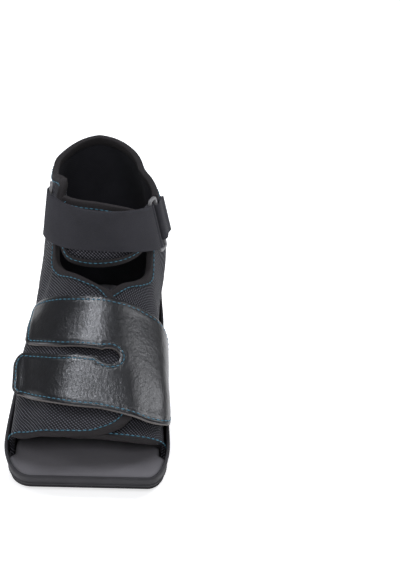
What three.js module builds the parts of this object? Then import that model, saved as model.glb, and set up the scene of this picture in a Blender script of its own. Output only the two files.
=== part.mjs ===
// Post-operative shoe for the right foot, as worn after forefoot surgery.
// Millimetres, Z up, toe towards -Y, inner (medial) side towards +X.
// The sole is a shallow cup; mesh panels rise from the inside of its rim, lap over the instep
// and go on up round the ankle. A forked leather strap closes the instep and a wide band the ankle.
import * as THREE from 'three';
import { mergeVertices } from 'three/addons/utils/BufferGeometryUtils.js';

// Sole
const TOE_Y = -132;
const HEEL_CENTRE_Y = 91;
const HEEL_END_Y = 134;
const TOE_SKEW = 0.05;
const TOE_SKEW_END_Y = -40;
const CORNER_LENGTH = 32;
const CORNER_LATERAL = 18;
const CORNER_MEDIAL = 14;
const RIM_WALL = 2.2;
const SOLE_EDGE_ROUND = 3.0;
const SOLE_EDGE_HEIGHT = 1.4;
const SOLE_DRAFT = 4.2;
const RIM_ROUND = 0.5;
const GROOVE_DEPTH = 0.7;
const GROOVE_WIDTH = 0.9;
const GROOVE_SHARE = 0.5;
const GROOVED_ABOVE_FLOOR = 4;
const SEAT = 0.35;
const BED_GAP = 1.2;
const HEEL_END_STEP = 0.35;
const BED_NARROW_FROM_Y = -110;
const BED_NARROW_Y = -105.2;

// Upper
const MESH_THICK = 2.4;
const UPPER_INSET = 5.5;
const BULGE_ABOVE_RIM = 1;
const LAP_LIFT = 4.6;
const LAP_FROM_TURN = 50;
const LAP_FULL_TURN = 78;
const SEAM_Y = 58;
const SEAM_GAP = 0.5;
const HEEL_ARC = 57.8;
const SWELL_END_TURN = 70;
const PINCH_END_TURN = 54;
const PINCH_LEAN = 1.5;
const ANKLE_LEAN = 0.7;
const ANKLE_FROM_Y = 8;
const ANKLE_FULL_Y = 40;

// Edge tape
const TAPE_WIDTH = 5.2;
const TAPE_WALL = 0.5;
const TAPE_GAP = 0.3;
const TAPE_FROM_SHARE = 0.4;
const NOSE_SHARE = 0.25;
const PAD_NOSE_ROUND = 0.4;

// Leather strap
const LEATHER_THICK = 2.2;
const LEATHER_LIFT = 3.2;
const LEATHER_RAISE = 5.2;
const SIDE_RAISE = 1.5;
const TIP_RAISE = 5.5;
const TIP_FROM_TURN = 54;
const REAR_TIP_SHARE = 0.3;
const LAP_RISE = { from: 38, to: 92 };
const LAP_FALL = { from: 112, to: 150 };
const BOW_RISE = { from: 122, to: 146 };
const BOW_FALL = { from: 148, to: 163 };
const KEYHOLE_TURN = 105;
const KEYHOLE_Y = -62.5;
const KEYHOLE_RADIUS = 5.6;
const STRAP_CORNER = 7;
const SLOT_FROM_Y = -50;
const SLOT_TO_Y = -25;
const KEYHOLE_TURNS = 14;
const TIP_FULL_TURN = 38;
const ANCHOR_TURNS = 9;
const FINGER_CROWDING = 0.35;

// Ankle pad, band, rings and tabs
const PAD_THICK = 4.6;
const PAD_EDGE_SHARE = 0.55;
const PAD_MARGIN_SHARE = 0.28;
const PAD_DEGREES_PER_MM = 1.5;
const BAND_THICK = 1.1;
const BAND_ANGLE = 78;
const BAND_MM_PER_DEGREE = 0.65;
const BAND_FRONT = { y: 5, z: 100, slope: 0.34 };
const PLY_GAP = 0.4;
const FREE_END_ANGLE = 73;
const RING_BLEND_ANGLE = 62;
const UNDER_PLY_DEGREES = 14;
const CROSSING_END_DEGREES = 0.5;
const TAIL_DEGREES = 12;
const RING_BAR = 2;
const RING_CLEARANCE = 0.4;
const RING_REACH = 9;
const RING_LENGTH = 37;
const RING_CORNER = 3.2;
const RING_HOLE_CORNER = 1.2;
const RING_BEVEL = 0.5;
const SEAT_MARGIN = 2;
const TAB_LENGTH = 13;
const TAB_HALF = 12.5;
const TAB_FLAT_FROM = 0.55;
const RING_SEATS = {
  lateral: { side: -1, y: 38, z: 117.7 },
  medial: { side: 1, y: 45, z: 105.2 },
};

// Sole sections from toe to heel: half widths each side, height of the rim, top of the foam bed,
// floor of the cup and underside.
const SOLE = [
  { y: -133, lateral: 51.0, medial: 50.3, rim: 12.6, bed: 12.4, floor: 7.2, under: 3.8 },
  { y: -122, lateral: 51.0, medial: 50.3, rim: 14.5, bed: 13.4, floor: 7.4, under: 2.0 },
  { y: -110, lateral: 51.0, medial: 50.3, rim: 17.5, bed: 14.4, floor: 7.8, under: 0.7 },
  { y: -95, lateral: 51.0, medial: 50.0, rim: 21.0, bed: 15.4, floor: 8.4, under: 0.0 },
  { y: -70, lateral: 50.2, medial: 49.0, rim: 24.0, bed: 17.2, floor: 9.4, under: 0.0 },
  { y: -30, lateral: 48.4, medial: 47.4, rim: 27.0, bed: 20.0, floor: 11.6, under: 0.0 },
  { y: 20, lateral: 45.4, medial: 45.4, rim: 29.0, bed: 22.8, floor: 13.4, under: 0.0 },
  { y: 60, lateral: 42.6, medial: 44.4, rim: 31.0, bed: 23.8, floor: 14.2, under: 0.0 },
  { y: 91, lateral: 41.0, medial: 43.0, rim: 33.0, bed: 24.4, floor: 14.6, under: 0.0 },
  { y: 112, lateral: 41.0, medial: 43.0, rim: 35.0, bed: 24.8, floor: 14.8, under: 0.6 },
  { y: 134, lateral: 41.0, medial: 43.0, rim: 37.0, bed: 25.2, floor: 15.0, under: 4.0 },
];

// Rounded top edge of the foam bed, and the shallow dish inside it.
const BED_EDGE = [
  { inset: 0, drop: 2.2 },
  { inset: 0.6, drop: 0.8 },
  { inset: 2, drop: 0.1 },
];
const BED_DISH = { inset: 14, depth: 0.6, fromY: -120, fullY: 40 };

// Upper sections, by distance along the sole edge: where the crown line runs and how high the
// arch of each side would close.
const ARCH = [
  { y: -122, crown: 3, lateral: 27, medial: 27 },
  { y: -108, crown: 3, lateral: 31, medial: 31 },
  { y: -92, crown: 3, lateral: 38, medial: 38 },
  { y: -75, crown: 3, lateral: 47, medial: 47 },
  { y: -50, crown: 4, lateral: 59, medial: 59 },
  { y: -25, crown: 5, lateral: 70, medial: 70 },
  { y: -8, crown: 6, lateral: 79, medial: 79 },
  { y: 8, crown: 6, lateral: 93, medial: 93 },
  { y: 20, crown: 6, lateral: 116, medial: 114 },
  { y: 35, crown: 6, lateral: 165, medial: 150 },
  { y: 47, crown: 5.5, lateral: 188, medial: 166 },
  { y: 60, crown: 4.5, lateral: 197, medial: 176 },
  { y: 74, crown: 3, lateral: 190, medial: 178 },
  { y: 91, crown: 1, lateral: 180, medial: 180 },
  { y: 149, crown: 1, lateral: 186, medial: 186 },
];

// Form of the same sections: how square each side is, and how far it bulges above the rim.
const ARCH_FORM = [
  { y: -122, lateralSquare: 4.6, medialSquare: 3.2, lateralBulge: 0, medialBulge: 0 },
  { y: -108, lateralSquare: 4.6, medialSquare: 3.1, lateralBulge: 0, medialBulge: 0 },
  { y: -92, lateralSquare: 4, medialSquare: 2.9, lateralBulge: 1, medialBulge: 2 },
  { y: -75, lateralSquare: 3.5, medialSquare: 2.7, lateralBulge: 2, medialBulge: 5 },
  { y: -50, lateralSquare: 3.4, medialSquare: 2.5, lateralBulge: 3, medialBulge: 6 },
  { y: -25, lateralSquare: 2.9, medialSquare: 2.4, lateralBulge: 3, medialBulge: 6 },
  { y: -8, lateralSquare: 2.5, medialSquare: 2.3, lateralBulge: 1, medialBulge: 5 },
  { y: 8, lateralSquare: 2.2, medialSquare: 2.2, lateralBulge: -1, medialBulge: 4 },
  { y: 20, lateralSquare: 2.1, medialSquare: 2.1, lateralBulge: -5, medialBulge: 3 },
  { y: 35, lateralSquare: 2, medialSquare: 2, lateralBulge: -9.5, medialBulge: 3 },
  { y: 47, lateralSquare: 2, medialSquare: 2, lateralBulge: -11, medialBulge: 4.5 },
  { y: 60, lateralSquare: 2, medialSquare: 2, lateralBulge: -8, medialBulge: 9 },
  { y: 74, lateralSquare: 2, medialSquare: 2, lateralBulge: -2, medialBulge: 7.5 },
  { y: 91, lateralSquare: 2, medialSquare: 2, lateralBulge: 0, medialBulge: 0.5 },
  { y: 149, lateralSquare: 2, medialSquare: 2, lateralBulge: 0, medialBulge: 0 },
];

// Ribs of the lateral panel: where each starts on the sole, and where it meets the free edge.
// Turn is the angle round the arch, 0 at the sole and 90 on the crown.
const LATERAL_RIBS = [
  { foot: -95, edge: -98, turn: 12 },
  { foot: -92, edge: -106.5, turn: 32 },
  { foot: -88, edge: -111.5, turn: 58 },
  { foot: -82, edge: -116, turn: 84 },
  { foot: -76, edge: -109.5, turn: 103 },
  { foot: -68, edge: -96, turn: 116 },
  { foot: -56, edge: -78, turn: 119 },
  { foot: -42, edge: -54, turn: 116 },
  { foot: -28, edge: -32, turn: 109 },
  { foot: -16, edge: -14, turn: 97 },
  { foot: -6, edge: -2, turn: 80 },
  { foot: 3, edge: 7, turn: 65 },
  { foot: 11, edge: 14.5, turn: 55.5 },
  { foot: 18, edge: 19, turn: 53 },
  { foot: 25, edge: 23, turn: 52.5 },
  { foot: 33, edge: 29, turn: 50 },
  { foot: 44, edge: 40, turn: 46 },
  { foot: SEAM_Y, edge: SEAM_Y, turn: 39.3 },
];

const MEDIAL_RIBS = [
  { foot: -99.5, edge: -101.5, turn: 12 },
  { foot: -98, edge: -109.5, turn: 32 },
  { foot: -95, edge: -114.5, turn: 58 },
  { foot: -90, edge: -114, turn: 84 },
  { foot: -82, edge: -109, turn: 97 },
  { foot: -71, edge: -92, turn: 100 },
  { foot: -55, edge: -64, turn: 100 },
  { foot: -36, edge: -36, turn: 98 },
  { foot: -21, edge: -17, turn: 91 },
  { foot: -9, edge: -5, turn: 77 },
  { foot: 1, edge: 4, turn: 60 },
  { foot: 10, edge: 14, turn: 47 },
  { foot: 18, edge: 21.5, turn: 41.5 },
  { foot: 26, edge: 30, turn: 39 },
  { foot: 36, edge: 38.5, turn: 39.2 },
  { foot: 47, edge: 48, turn: 39.5 },
  { foot: SEAM_Y, edge: SEAM_Y, turn: 40 },
];

// Top edge of the heel panel, by distance round from the middle of the back, lateral side negative.
const HEEL_EDGE = [
  { way: -90.5, turn: 39.3 },
  { way: -76, turn: 40 },
  { way: -58, turn: 43 },
  { way: -36, turn: 44.2 },
  { way: -16, turn: 45.6 },
  { way: 0, turn: 46 },
  { way: 16, turn: 45.6 },
  { way: 36, turn: 44.2 },
  { way: 58, turn: 42.4 },
  { way: 76, turn: 41 },
  { way: 90.5, turn: 40 },
];

// Leather strap sections, by turn measured from the lateral sole edge: rear and front edges.
const STRAP = [
  { turn: 163, rear: -36, front: -84 },
  { turn: 155, rear: -27, front: -92 },
  { turn: 140, rear: -20, front: -99 },
  { turn: 120, rear: -19, front: -100 },
  { turn: 100, rear: -18.5, front: -97 },
  { turn: 80, rear: -17.5, front: -93 },
  { turn: 60, rear: -12, front: -87 },
  { turn: 45, rear: -2.5, front: -81 },
  { turn: 35, rear: 4, front: -77.5 },
];

// Slot between the two fingers: its rear and front edges.
const SLOT = [
  { turn: 95, rear: -59, front: -65 },
  { turn: 86, rear: -56.2, front: -62.8 },
  { turn: 76, rear: -54, front: -61 },
  { turn: 60, rear: -48, front: -54.5 },
  { turn: 45, rear: -40, front: -47.5 },
  { turn: 35, rear: -35, front: -43 },
];

// Finger ends: the turn that each edge reaches, and the rounding there in turn and along the shoe.
const REAR_FINGER = {
  outer: { end: 37.5, turns: 5, depth: 7 },
  slot: { end: 44, turns: 5, depth: 6 },
};
const FRONT_FINGER = {
  outer: { end: 39.5, turns: 4, depth: 6 },
  slot: { end: 39.5, turns: 8, depth: 13 },
};

// Pad across the ankle, by angle from the front: lower and upper edges.
const PAD = [
  { angle: -51, low: 106, high: 127 },
  { angle: -47, low: 99, high: 130.5 },
  { angle: -38, low: 93, high: 130 },
  { angle: -20, low: 90.5, high: 129 },
  { angle: 0, low: 90, high: 128 },
  { angle: 24, low: 91, high: 125 },
  { angle: 44, low: 94, high: 121.5 },
  { angle: 55, low: 98, high: 118.5 },
  { angle: 60, low: 103, high: 114 },
];

// Ankle band, by angle from the front: lower and upper edges.
const BAND = [
  { angle: -90, low: 103.5, high: 135 },
  { angle: -40, low: 101.5, high: 128.5 },
  { angle: 0, low: 101, high: 125 },
  { angle: 40, low: 97, high: 123 },
  { angle: 90, low: 90, high: 121 },
];

const DEGREE = Math.PI / 180;

function mix(a, b, t) {
  return a + (b - a) * t;
}

function smooth(from, to, value) {
  const t = Math.min(1, Math.max(0, (value - from) / (to - from)));
  return t * t * (3 - 2 * t);
}

// Smooth reading of a table column at a value of its key column.
function read(table, key, name, value) {
  const rising = table[table.length - 1][key] > table[0][key];
  const rows = rising ? table : table.slice().reverse();
  const last = rows.length - 1;
  if (value <= rows[0][key]) {
    return rows[0][name];
  }
  if (value >= rows[last][key]) {
    return rows[last][name];
  }
  let i = 0;
  while (value > rows[i + 1][key]) {
    i += 1;
  }
  const slope = (k) => {
    const a = rows[Math.max(0, k - 1)];
    const b = rows[Math.min(last, k + 1)];
    return (b[name] - a[name]) / (b[key] - a[key]);
  };
  const span = rows[i + 1][key] - rows[i][key];
  const t = (value - rows[i][key]) / span;
  const h1 = t * t * (3 - 2 * t);
  const h2 = t * (1 - t) * (1 - t) * span;
  const h3 = -t * t * (1 - t) * span;
  return mix(rows[i][name], rows[i + 1][name], h1) + h2 * slope(i) + h3 * slope(i + 1);
}

// A smooth row between the rows of a table, at a fractional row number.
function rowAt(table, position) {
  const last = table.length - 1;
  const i = Math.min(last - 1, Math.floor(position));
  const t = position - i;
  const row = {};
  for (const name of Object.keys(table[0])) {
    const p0 = table[Math.max(0, i - 1)][name];
    const p1 = table[i][name];
    const p2 = table[i + 1][name];
    const p3 = table[Math.min(last, i + 2)][name];
    const a = 2 * p1;
    const b = p2 - p0;
    const c = 2 * p0 - 5 * p1 + 4 * p2 - p3;
    const d = 3 * p1 - p0 - 3 * p2 + p3;
    row[name] = 0.5 * (a + b * t + c * t * t + d * t * t * t);
  }
  return row;
}

const sole = (name, y) => read(SOLE, 'y', name, y);
const arch = (name, y) => read(ARCH, 'y', name, y);
const archForm = (name, y) => read(ARCH_FORM, 'y', name, y);

// Mesh building from corner lists, welded and without unused attributes.
function solidFrom(triangles) {
  const data = new Float32Array(triangles.length * 9);
  let at = 0;
  for (const tri of triangles) {
    for (const p of tri) {
      data[at] = p.x;
      data[at + 1] = p.y;
      data[at + 2] = p.z;
      at += 3;
    }
  }
  const geometry = new THREE.BufferGeometry();
  geometry.setAttribute('position', new THREE.BufferAttribute(data, 3));
  const welded = mergeVertices(geometry, 1e-4);
  welded.computeVertexNormals();
  return welded;
}

function triangle(list, a, b, c) {
  const least = 1e-6;
  if (a.distanceTo(b) > least && b.distanceTo(c) > least && c.distanceTo(a) > least) {
    list.push([a, b, c]);
  }
}

function quad(list, a, b, c, d) {
  triangle(list, a, b, c);
  triangle(list, a, c, d);
}

// Outline of the sole, moved inwards, as rungs from toe to heel: one point on each side.
function soleRungs(inset) {
  const rungs = [];
  const place = (y, lateral, medial) => {
    const skew = TOE_SKEW * (1 - smooth(TOE_Y, TOE_SKEW_END_Y, y));
    const left = { x: -lateral, y: y + skew * lateral, at: y };
    const right = { x: medial, y: y - skew * medial, at: y };
    rungs.push({ left, right });
  };
  const cornerSteps = 9;
  const front = inset(TOE_Y);
  for (let i = 0; i <= cornerSteps; i += 1) {
    const angle = (i / cornerSteps) * 90 * DEGREE;
    const y = TOE_Y + front + (CORNER_LENGTH - front) * (1 - Math.cos(angle));
    const pinch = 1 - Math.sin(angle);
    const lateralIn = Math.max(0, CORNER_LATERAL - front) * pinch;
    const medialIn = Math.max(0, CORNER_MEDIAL - front) * pinch;
    place(y, sole('lateral', y) - inset(y) - lateralIn, sole('medial', y) - inset(y) - medialIn);
  }
  const from = rungs[rungs.length - 1].left.at;
  const sideSteps = 14;
  for (let i = 1; i <= sideSteps; i += 1) {
    const y = mix(from, HEEL_CENTRE_Y, i / sideSteps);
    place(y, sole('lateral', y) - inset(y), sole('medial', y) - inset(y));
  }
  const centreX = (sole('medial', HEEL_CENTRE_Y) - sole('lateral', HEEL_CENTRE_Y)) / 2;
  const radius = (sole('medial', HEEL_CENTRE_Y) + sole('lateral', HEEL_CENTRE_Y)) / 2;
  const heelSteps = 8;
  for (let i = 1; i <= heelSteps; i += 1) {
    const angle = (i / (heelSteps + HEEL_END_STEP)) * 90 * DEGREE;
    const r = radius - inset(HEEL_CENTRE_Y);
    const y = HEEL_CENTRE_Y + r * Math.sin(angle);
    place(y, r * Math.cos(angle) - centreX, r * Math.cos(angle) + centreX);
  }
  return rungs;
}

// Solid made of stacked loops of the sole outline, closed below and above.
function stackedSolid(levels) {
  const loops = levels.map((level) => {
    const rungs = soleRungs(level.inset);
    const point = (q) => new THREE.Vector3(q.x, q.y, level.z(q.at, q.x));
    const left = rungs.map((rung) => point(rung.left));
    const right = rungs.map((rung) => point(rung.right));
    return { left, right, ring: [...left, ...right.slice().reverse()] };
  });
  const triangles = [];
  for (let k = 0; k + 1 < loops.length; k += 1) {
    const low = loops[k].ring;
    const high = loops[k + 1].ring;
    for (let i = 0; i < low.length; i += 1) {
      const j = (i + 1) % low.length;
      quad(triangles, low[i], high[i], high[j], low[j]);
    }
  }
  const cap = (loop, up) => {
    for (let i = 0; i + 1 < loop.left.length; i += 1) {
      if (up) {
        quad(triangles, loop.left[i], loop.right[i], loop.right[i + 1], loop.left[i + 1]);
      } else {
        quad(triangles, loop.left[i], loop.left[i + 1], loop.right[i + 1], loop.right[i]);
      }
    }
  };
  cap(loops[0], false);
  cap(loops[loops.length - 1], true);
  return solidFrom(triangles);
}

function outsole() {
  const under = (y) => Math.max(0, sole('under', y));
  const rim = (y) => sole('rim', y);
  const even = (amount) => () => amount;
  const middle = (y) => mix(under(y), sole('floor', y) + GROOVED_ABOVE_FLOOR, GROOVE_SHARE);
  const groove = (shift) => (y) => middle(y) + shift;
  return stackedSolid([
    { inset: even(SOLE_DRAFT + SOLE_EDGE_ROUND), z: under },
    { inset: even(SOLE_DRAFT), z: (y) => under(y) + SOLE_EDGE_HEIGHT },
    { inset: even(SOLE_DRAFT / 2), z: groove(-GROOVE_WIDTH / 2) },
    { inset: even(SOLE_DRAFT / 2 + GROOVE_DEPTH), z: groove(0) },
    { inset: even(SOLE_DRAFT / 2), z: groove(GROOVE_WIDTH / 2) },
    { inset: even(0), z: (y) => rim(y) - RIM_ROUND },
    { inset: even(RIM_ROUND), z: rim },
    { inset: even(RIM_WALL - RIM_ROUND), z: rim },
    { inset: even(RIM_WALL), z: (y) => rim(y) - RIM_ROUND },
    { inset: even(RIM_WALL), z: (y) => sole('floor', y) },
  ]);
}

function bedInset(y) {
  const front = RIM_WALL + SEAT;
  const side = UPPER_INSET + BED_GAP;
  return mix(front, side, smooth(BED_NARROW_FROM_Y, BED_NARROW_Y, y));
}

function footbed() {
  const more = (amount) => (y) => bedInset(y) + amount;
  const dished = (y) => BED_DISH.depth * smooth(BED_DISH.fromY, BED_DISH.fullY, y);
  return stackedSolid([
    { inset: more(0), z: (y) => sole('floor', y) + SEAT },
    ...BED_EDGE.map(({ inset, drop }) => ({ inset: more(inset), z: (y) => sole('bed', y) - drop })),
    { inset: more(BED_DISH.inset), z: (y) => sole('bed', y) - dished(y) },
  ]);
}

// Point on the inner face of the upper: side -1 lateral, 1 medial; distance along the sole edge;
// turn round the arch from that side's sole edge. Past the crown it runs on down the other side.
function upperPoint(side, along, turn) {
  const own = turn <= 90 ? side : -side;
  const y = Math.min(along, HEEL_CENTRE_Y);
  const crown = arch('crown', along);
  const half = own < 0 ? sole('lateral', y) + crown : sole('medial', y) - crown;
  const width = half - UPPER_INSET;
  const base = sole('floor', Math.min(along, HEEL_END_Y)) + SEAT;
  const top = own < 0 ? arch('lateral', along) : arch('medial', along);
  const power = 2 / archForm(own < 0 ? 'lateralSquare' : 'medialSquare', along);
  const bulge = archForm(own < 0 ? 'lateralBulge' : 'medialBulge', along);
  const raise = turn <= 90 ? turn : 180 - turn;
  const bulgeFrom = sole('rim', Math.min(along, HEEL_END_Y)) + BULGE_ABOVE_RIM;
  const clear = Math.max(0, bulgeFrom - base) / (top - base);
  const rimTurn = Math.asin(clear ** (1 / power)) / DEGREE;
  const end = bulge < 0 ? PINCH_END_TURN : SWELL_END_TURN;
  const ankle = smooth(ANKLE_FROM_Y, ANKLE_FULL_Y, along);
  const lean = bulge < 0 ? PINCH_LEAN : mix(1, ANKLE_LEAN, ankle);
  const part = Math.min(1, Math.max(0, (raise - rimTurn) / (end - rimTurn)));
  const swell = bulge * Math.sin(part ** lean * Math.PI) ** 2;
  const reach = width * Math.abs(Math.cos(turn * DEGREE)) ** power + swell;
  const z = base + (top - base) * Math.abs(Math.sin(turn * DEGREE)) ** power;
  if (along <= HEEL_CENTRE_Y) {
    return new THREE.Vector3(crown + own * reach, y, z);
  }
  const swing = ((along - HEEL_CENTRE_Y) / HEEL_ARC) * 90 * DEGREE;
  return new THREE.Vector3(crown + own * reach * Math.cos(swing), y + reach * Math.sin(swing), z);
}

// Outward direction of the upper's surface.
function upperNormal(side, along, turn) {
  const step = 0.2;
  const t = Math.max(0.6, turn);
  const a = upperPoint(side, along + step, t).sub(upperPoint(side, along - step, t));
  const b = upperPoint(side, along, t + step).sub(upperPoint(side, along, t - step));
  return a.cross(b).multiplyScalar(side).normalize();
}

// A rib is a curve up the upper; share 0 is its foot on the sole and 1 its free edge.
function rib(side, foot, edge, turn) {
  const samples = 48;
  const shares = [0];
  const lengths = [0];
  const at = (share) => ({ along: mix(foot, edge, share), turn: turn * share });
  let previous = upperPoint(side, foot, 0);
  for (let i = 1; i <= samples; i += 1) {
    const q = at(i / samples);
    const next = upperPoint(side, q.along, q.turn);
    shares.push(i / samples);
    lengths.push(lengths[i - 1] + next.distanceTo(previous));
    previous = next;
  }
  const total = lengths[samples];
  const shareAtLength = (length) => {
    let i = 1;
    while (i < samples && lengths[i] < length) {
      i += 1;
    }
    const span = lengths[i] - lengths[i - 1];
    return mix(shares[i - 1], shares[i], (length - lengths[i - 1]) / span);
  };
  const raised = (length, lift) => {
    const q = at(shareAtLength(length));
    const p = upperPoint(side, q.along, q.turn);
    return p.addScaledVector(upperNormal(side, q.along, q.turn), lift(q));
  };
  return { total, raised };
}

function lapLift(side, turn) {
  return side < 0 ? LAP_LIFT * smooth(LAP_FROM_TURN, LAP_FULL_TURN, turn) : 0;
}

function ribsFromTable(side, table, steps) {
  const ribs = [];
  for (let i = 0; i <= steps; i += 1) {
    const row = rowAt(table, (i / steps) * (table.length - 1));
    ribs.push(rib(side, row.foot, row.edge, row.turn));
  }
  return ribs;
}

function heelRibs(steps) {
  const ribs = [];
  const backY = HEEL_CENTRE_Y + HEEL_ARC;
  const reach = backY - SEAM_Y - SEAM_GAP;
  for (let i = 0; i <= steps; i += 1) {
    const way = mix(-reach, reach, i / steps);
    const y = backY - Math.abs(way);
    ribs.push(rib(way <= 0 ? -1 : 1, y, y, read(HEEL_EDGE, 'way', 'turn', way)));
  }
  return ribs;
}

// Closed panel between two faces that share a grid of ribs and rows. Each cell is split along its
// shorter diagonal, except under the edge tape.
function panel(outer, inner) {
  const triangles = [];
  const corners = (face, i, j) => [face[i][j], face[i + 1][j], face[i + 1][j + 1], face[i][j + 1]];
  const last = outer.length - 1;
  const top = outer[0].length - 1;
  for (let i = 0; i < last; i += 1) {
    for (let j = 0; j < top; j += 1) {
      const [a, b, c, d] = corners(outer, i, j);
      const [p, q, r, s] = corners(inner, i, j);
      const underTape = j === top - 1;
      if (underTape || a.distanceTo(c) <= b.distanceTo(d)) {
        quad(triangles, a, b, c, d);
        quad(triangles, p, s, r, q);
      } else {
        quad(triangles, b, c, d, a);
        quad(triangles, s, r, q, p);
      }
    }
    quad(triangles, outer[i][0], inner[i][0], inner[i + 1][0], outer[i + 1][0]);
    quad(triangles, outer[i][top], outer[i + 1][top], inner[i + 1][top], inner[i][top]);
  }
  for (let j = 0; j < top; j += 1) {
    quad(triangles, outer[0][j], outer[0][j + 1], inner[0][j + 1], inner[0][j]);
    quad(triangles, outer[last][j], inner[last][j], inner[last][j + 1], outer[last][j + 1]);
  }
  return triangles;
}

function mirrored(triangles) {
  return triangles.map(([a, b, c]) => [a, c, b]);
}

// Row distances along a rib: even steps, then one row where the edge tape starts.
function rowLengths(total, rows) {
  const body = Math.max(total * TAPE_FROM_SHARE, total - TAPE_WIDTH);
  const lengths = [];
  for (let j = 0; j <= rows; j += 1) {
    lengths.push((body * j) / rows);
  }
  lengths.push(total);
  return lengths;
}

function upperPanel(side, ribs, rows) {
  const lift = (extra) => (q) => lapLift(side, q.turn) + extra;
  const face = (extra) => ribs.map((r) => rowLengths(r.total, rows).map((l) => r.raised(l, lift(extra))));
  const triangles = panel(face(MESH_THICK), face(0));
  return solidFrom(side < 0 ? mirrored(triangles) : triangles);
}

// Tape folded over a free edge: a thin U whose legs follow both faces of the panel.
function edgeTape(ribs, baseLift, turned) {
  const outerLift = MESH_THICK + TAPE_GAP + TAPE_WALL;
  const innerLift = -TAPE_GAP - TAPE_WALL;
  const section = (r) => {
    const start = Math.max(r.total * TAPE_FROM_SHARE, r.total - TAPE_WIDTH);
    const inside = r.total + TAPE_GAP;
    const nose = inside + TAPE_WALL;
    const at = (length, extra) => r.raised(length, (q) => baseLift(q) + extra);
    return [
      at(start, outerLift),
      at(inside, outerLift),
      at(nose, MESH_THICK * (1 - NOSE_SHARE)),
      at(nose, MESH_THICK * NOSE_SHARE),
      at(inside, innerLift),
      at(start, innerLift),
      at(start, -TAPE_GAP),
      at(inside, -TAPE_GAP),
      at(inside, MESH_THICK + TAPE_GAP),
      at(start, MESH_THICK + TAPE_GAP),
    ];
  };
  const triangles = channel(ribs.map(section), false);
  return solidFrom(turned ? mirrored(triangles) : triangles);
}

// Skin of a U section carried along a row of sections, closed on itself or capped at both ends.
function channel(sections, closed) {
  const triangles = [];
  const count = sections[0].length;
  const steps = closed ? sections.length : sections.length - 1;
  for (let i = 0; i < steps; i += 1) {
    const a = sections[i];
    const b = sections[(i + 1) % sections.length];
    for (let k = 0; k < count; k += 1) {
      const n = (k + 1) % count;
      const towardsStart = k === 4 || k === 7 || k === 8;
      if (towardsStart) {
        quad(triangles, b[k], b[n], a[n], a[k]);
      } else {
        quad(triangles, a[k], b[k], b[n], a[n]);
      }
    }
  }
  if (closed) {
    return triangles;
  }
  const faces = [[0, 1, 8], [0, 8, 9], [1, 2, 8], [2, 3, 8], [3, 7, 8], [3, 4, 7], [4, 5, 7], [5, 6, 7]];
  const first = sections[0];
  const last = sections[sections.length - 1];
  for (const [a, b, c] of faces) {
    triangles.push([first[a], first[b], first[c]], [last[a], last[c], last[b]]);
  }
  return triangles;
}

function heelPanel(ribs, rows) {
  const face = (extra) => ribs.map((r) => rowLengths(r.total, rows).map((l) => r.raised(l, () => extra)));
  return solidFrom(mirrored(panel(face(MESH_THICK), face(0))));
}

// Leather strap: rises over the lapped mesh and comes down again past its edge, bows out over the
// medial side, and its finger ends run on straighter than the mesh under them.
function leatherLift(turn, y) {
  const rise = ({ from, to }) => smooth(from, to, turn);
  const up = rise(LAP_RISE);
  const down = 1 - rise(LAP_FALL);
  const bow = rise(BOW_RISE) * (1 - rise(BOW_FALL));
  const tip = Math.max(0, (TIP_FROM_TURN - turn) / (TIP_FROM_TURN - TIP_FULL_TURN)) ** 2;
  const tipRaise = TIP_RAISE * mix(1, REAR_TIP_SHARE, smooth(SLOT_FROM_Y, SLOT_TO_Y, y));
  return LEATHER_LIFT + LEATHER_RAISE * up * down + SIDE_RAISE * bow + tipRaise * tip;
}

function leatherPoint(turn, y, lift) {
  const p = upperPoint(-1, y, turn);
  return p.addScaledVector(upperNormal(-1, y, turn), leatherLift(turn, y) + lift);
}

// Rounded corner at the end of a strap: how far an edge has drawn in, near the end.
function cornerDraw(distance, length, depth) {
  if (distance >= length) {
    return 0;
  }
  return depth * (1 - Math.sqrt(Math.max(0, 1 - (1 - distance / length) ** 2)));
}

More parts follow.
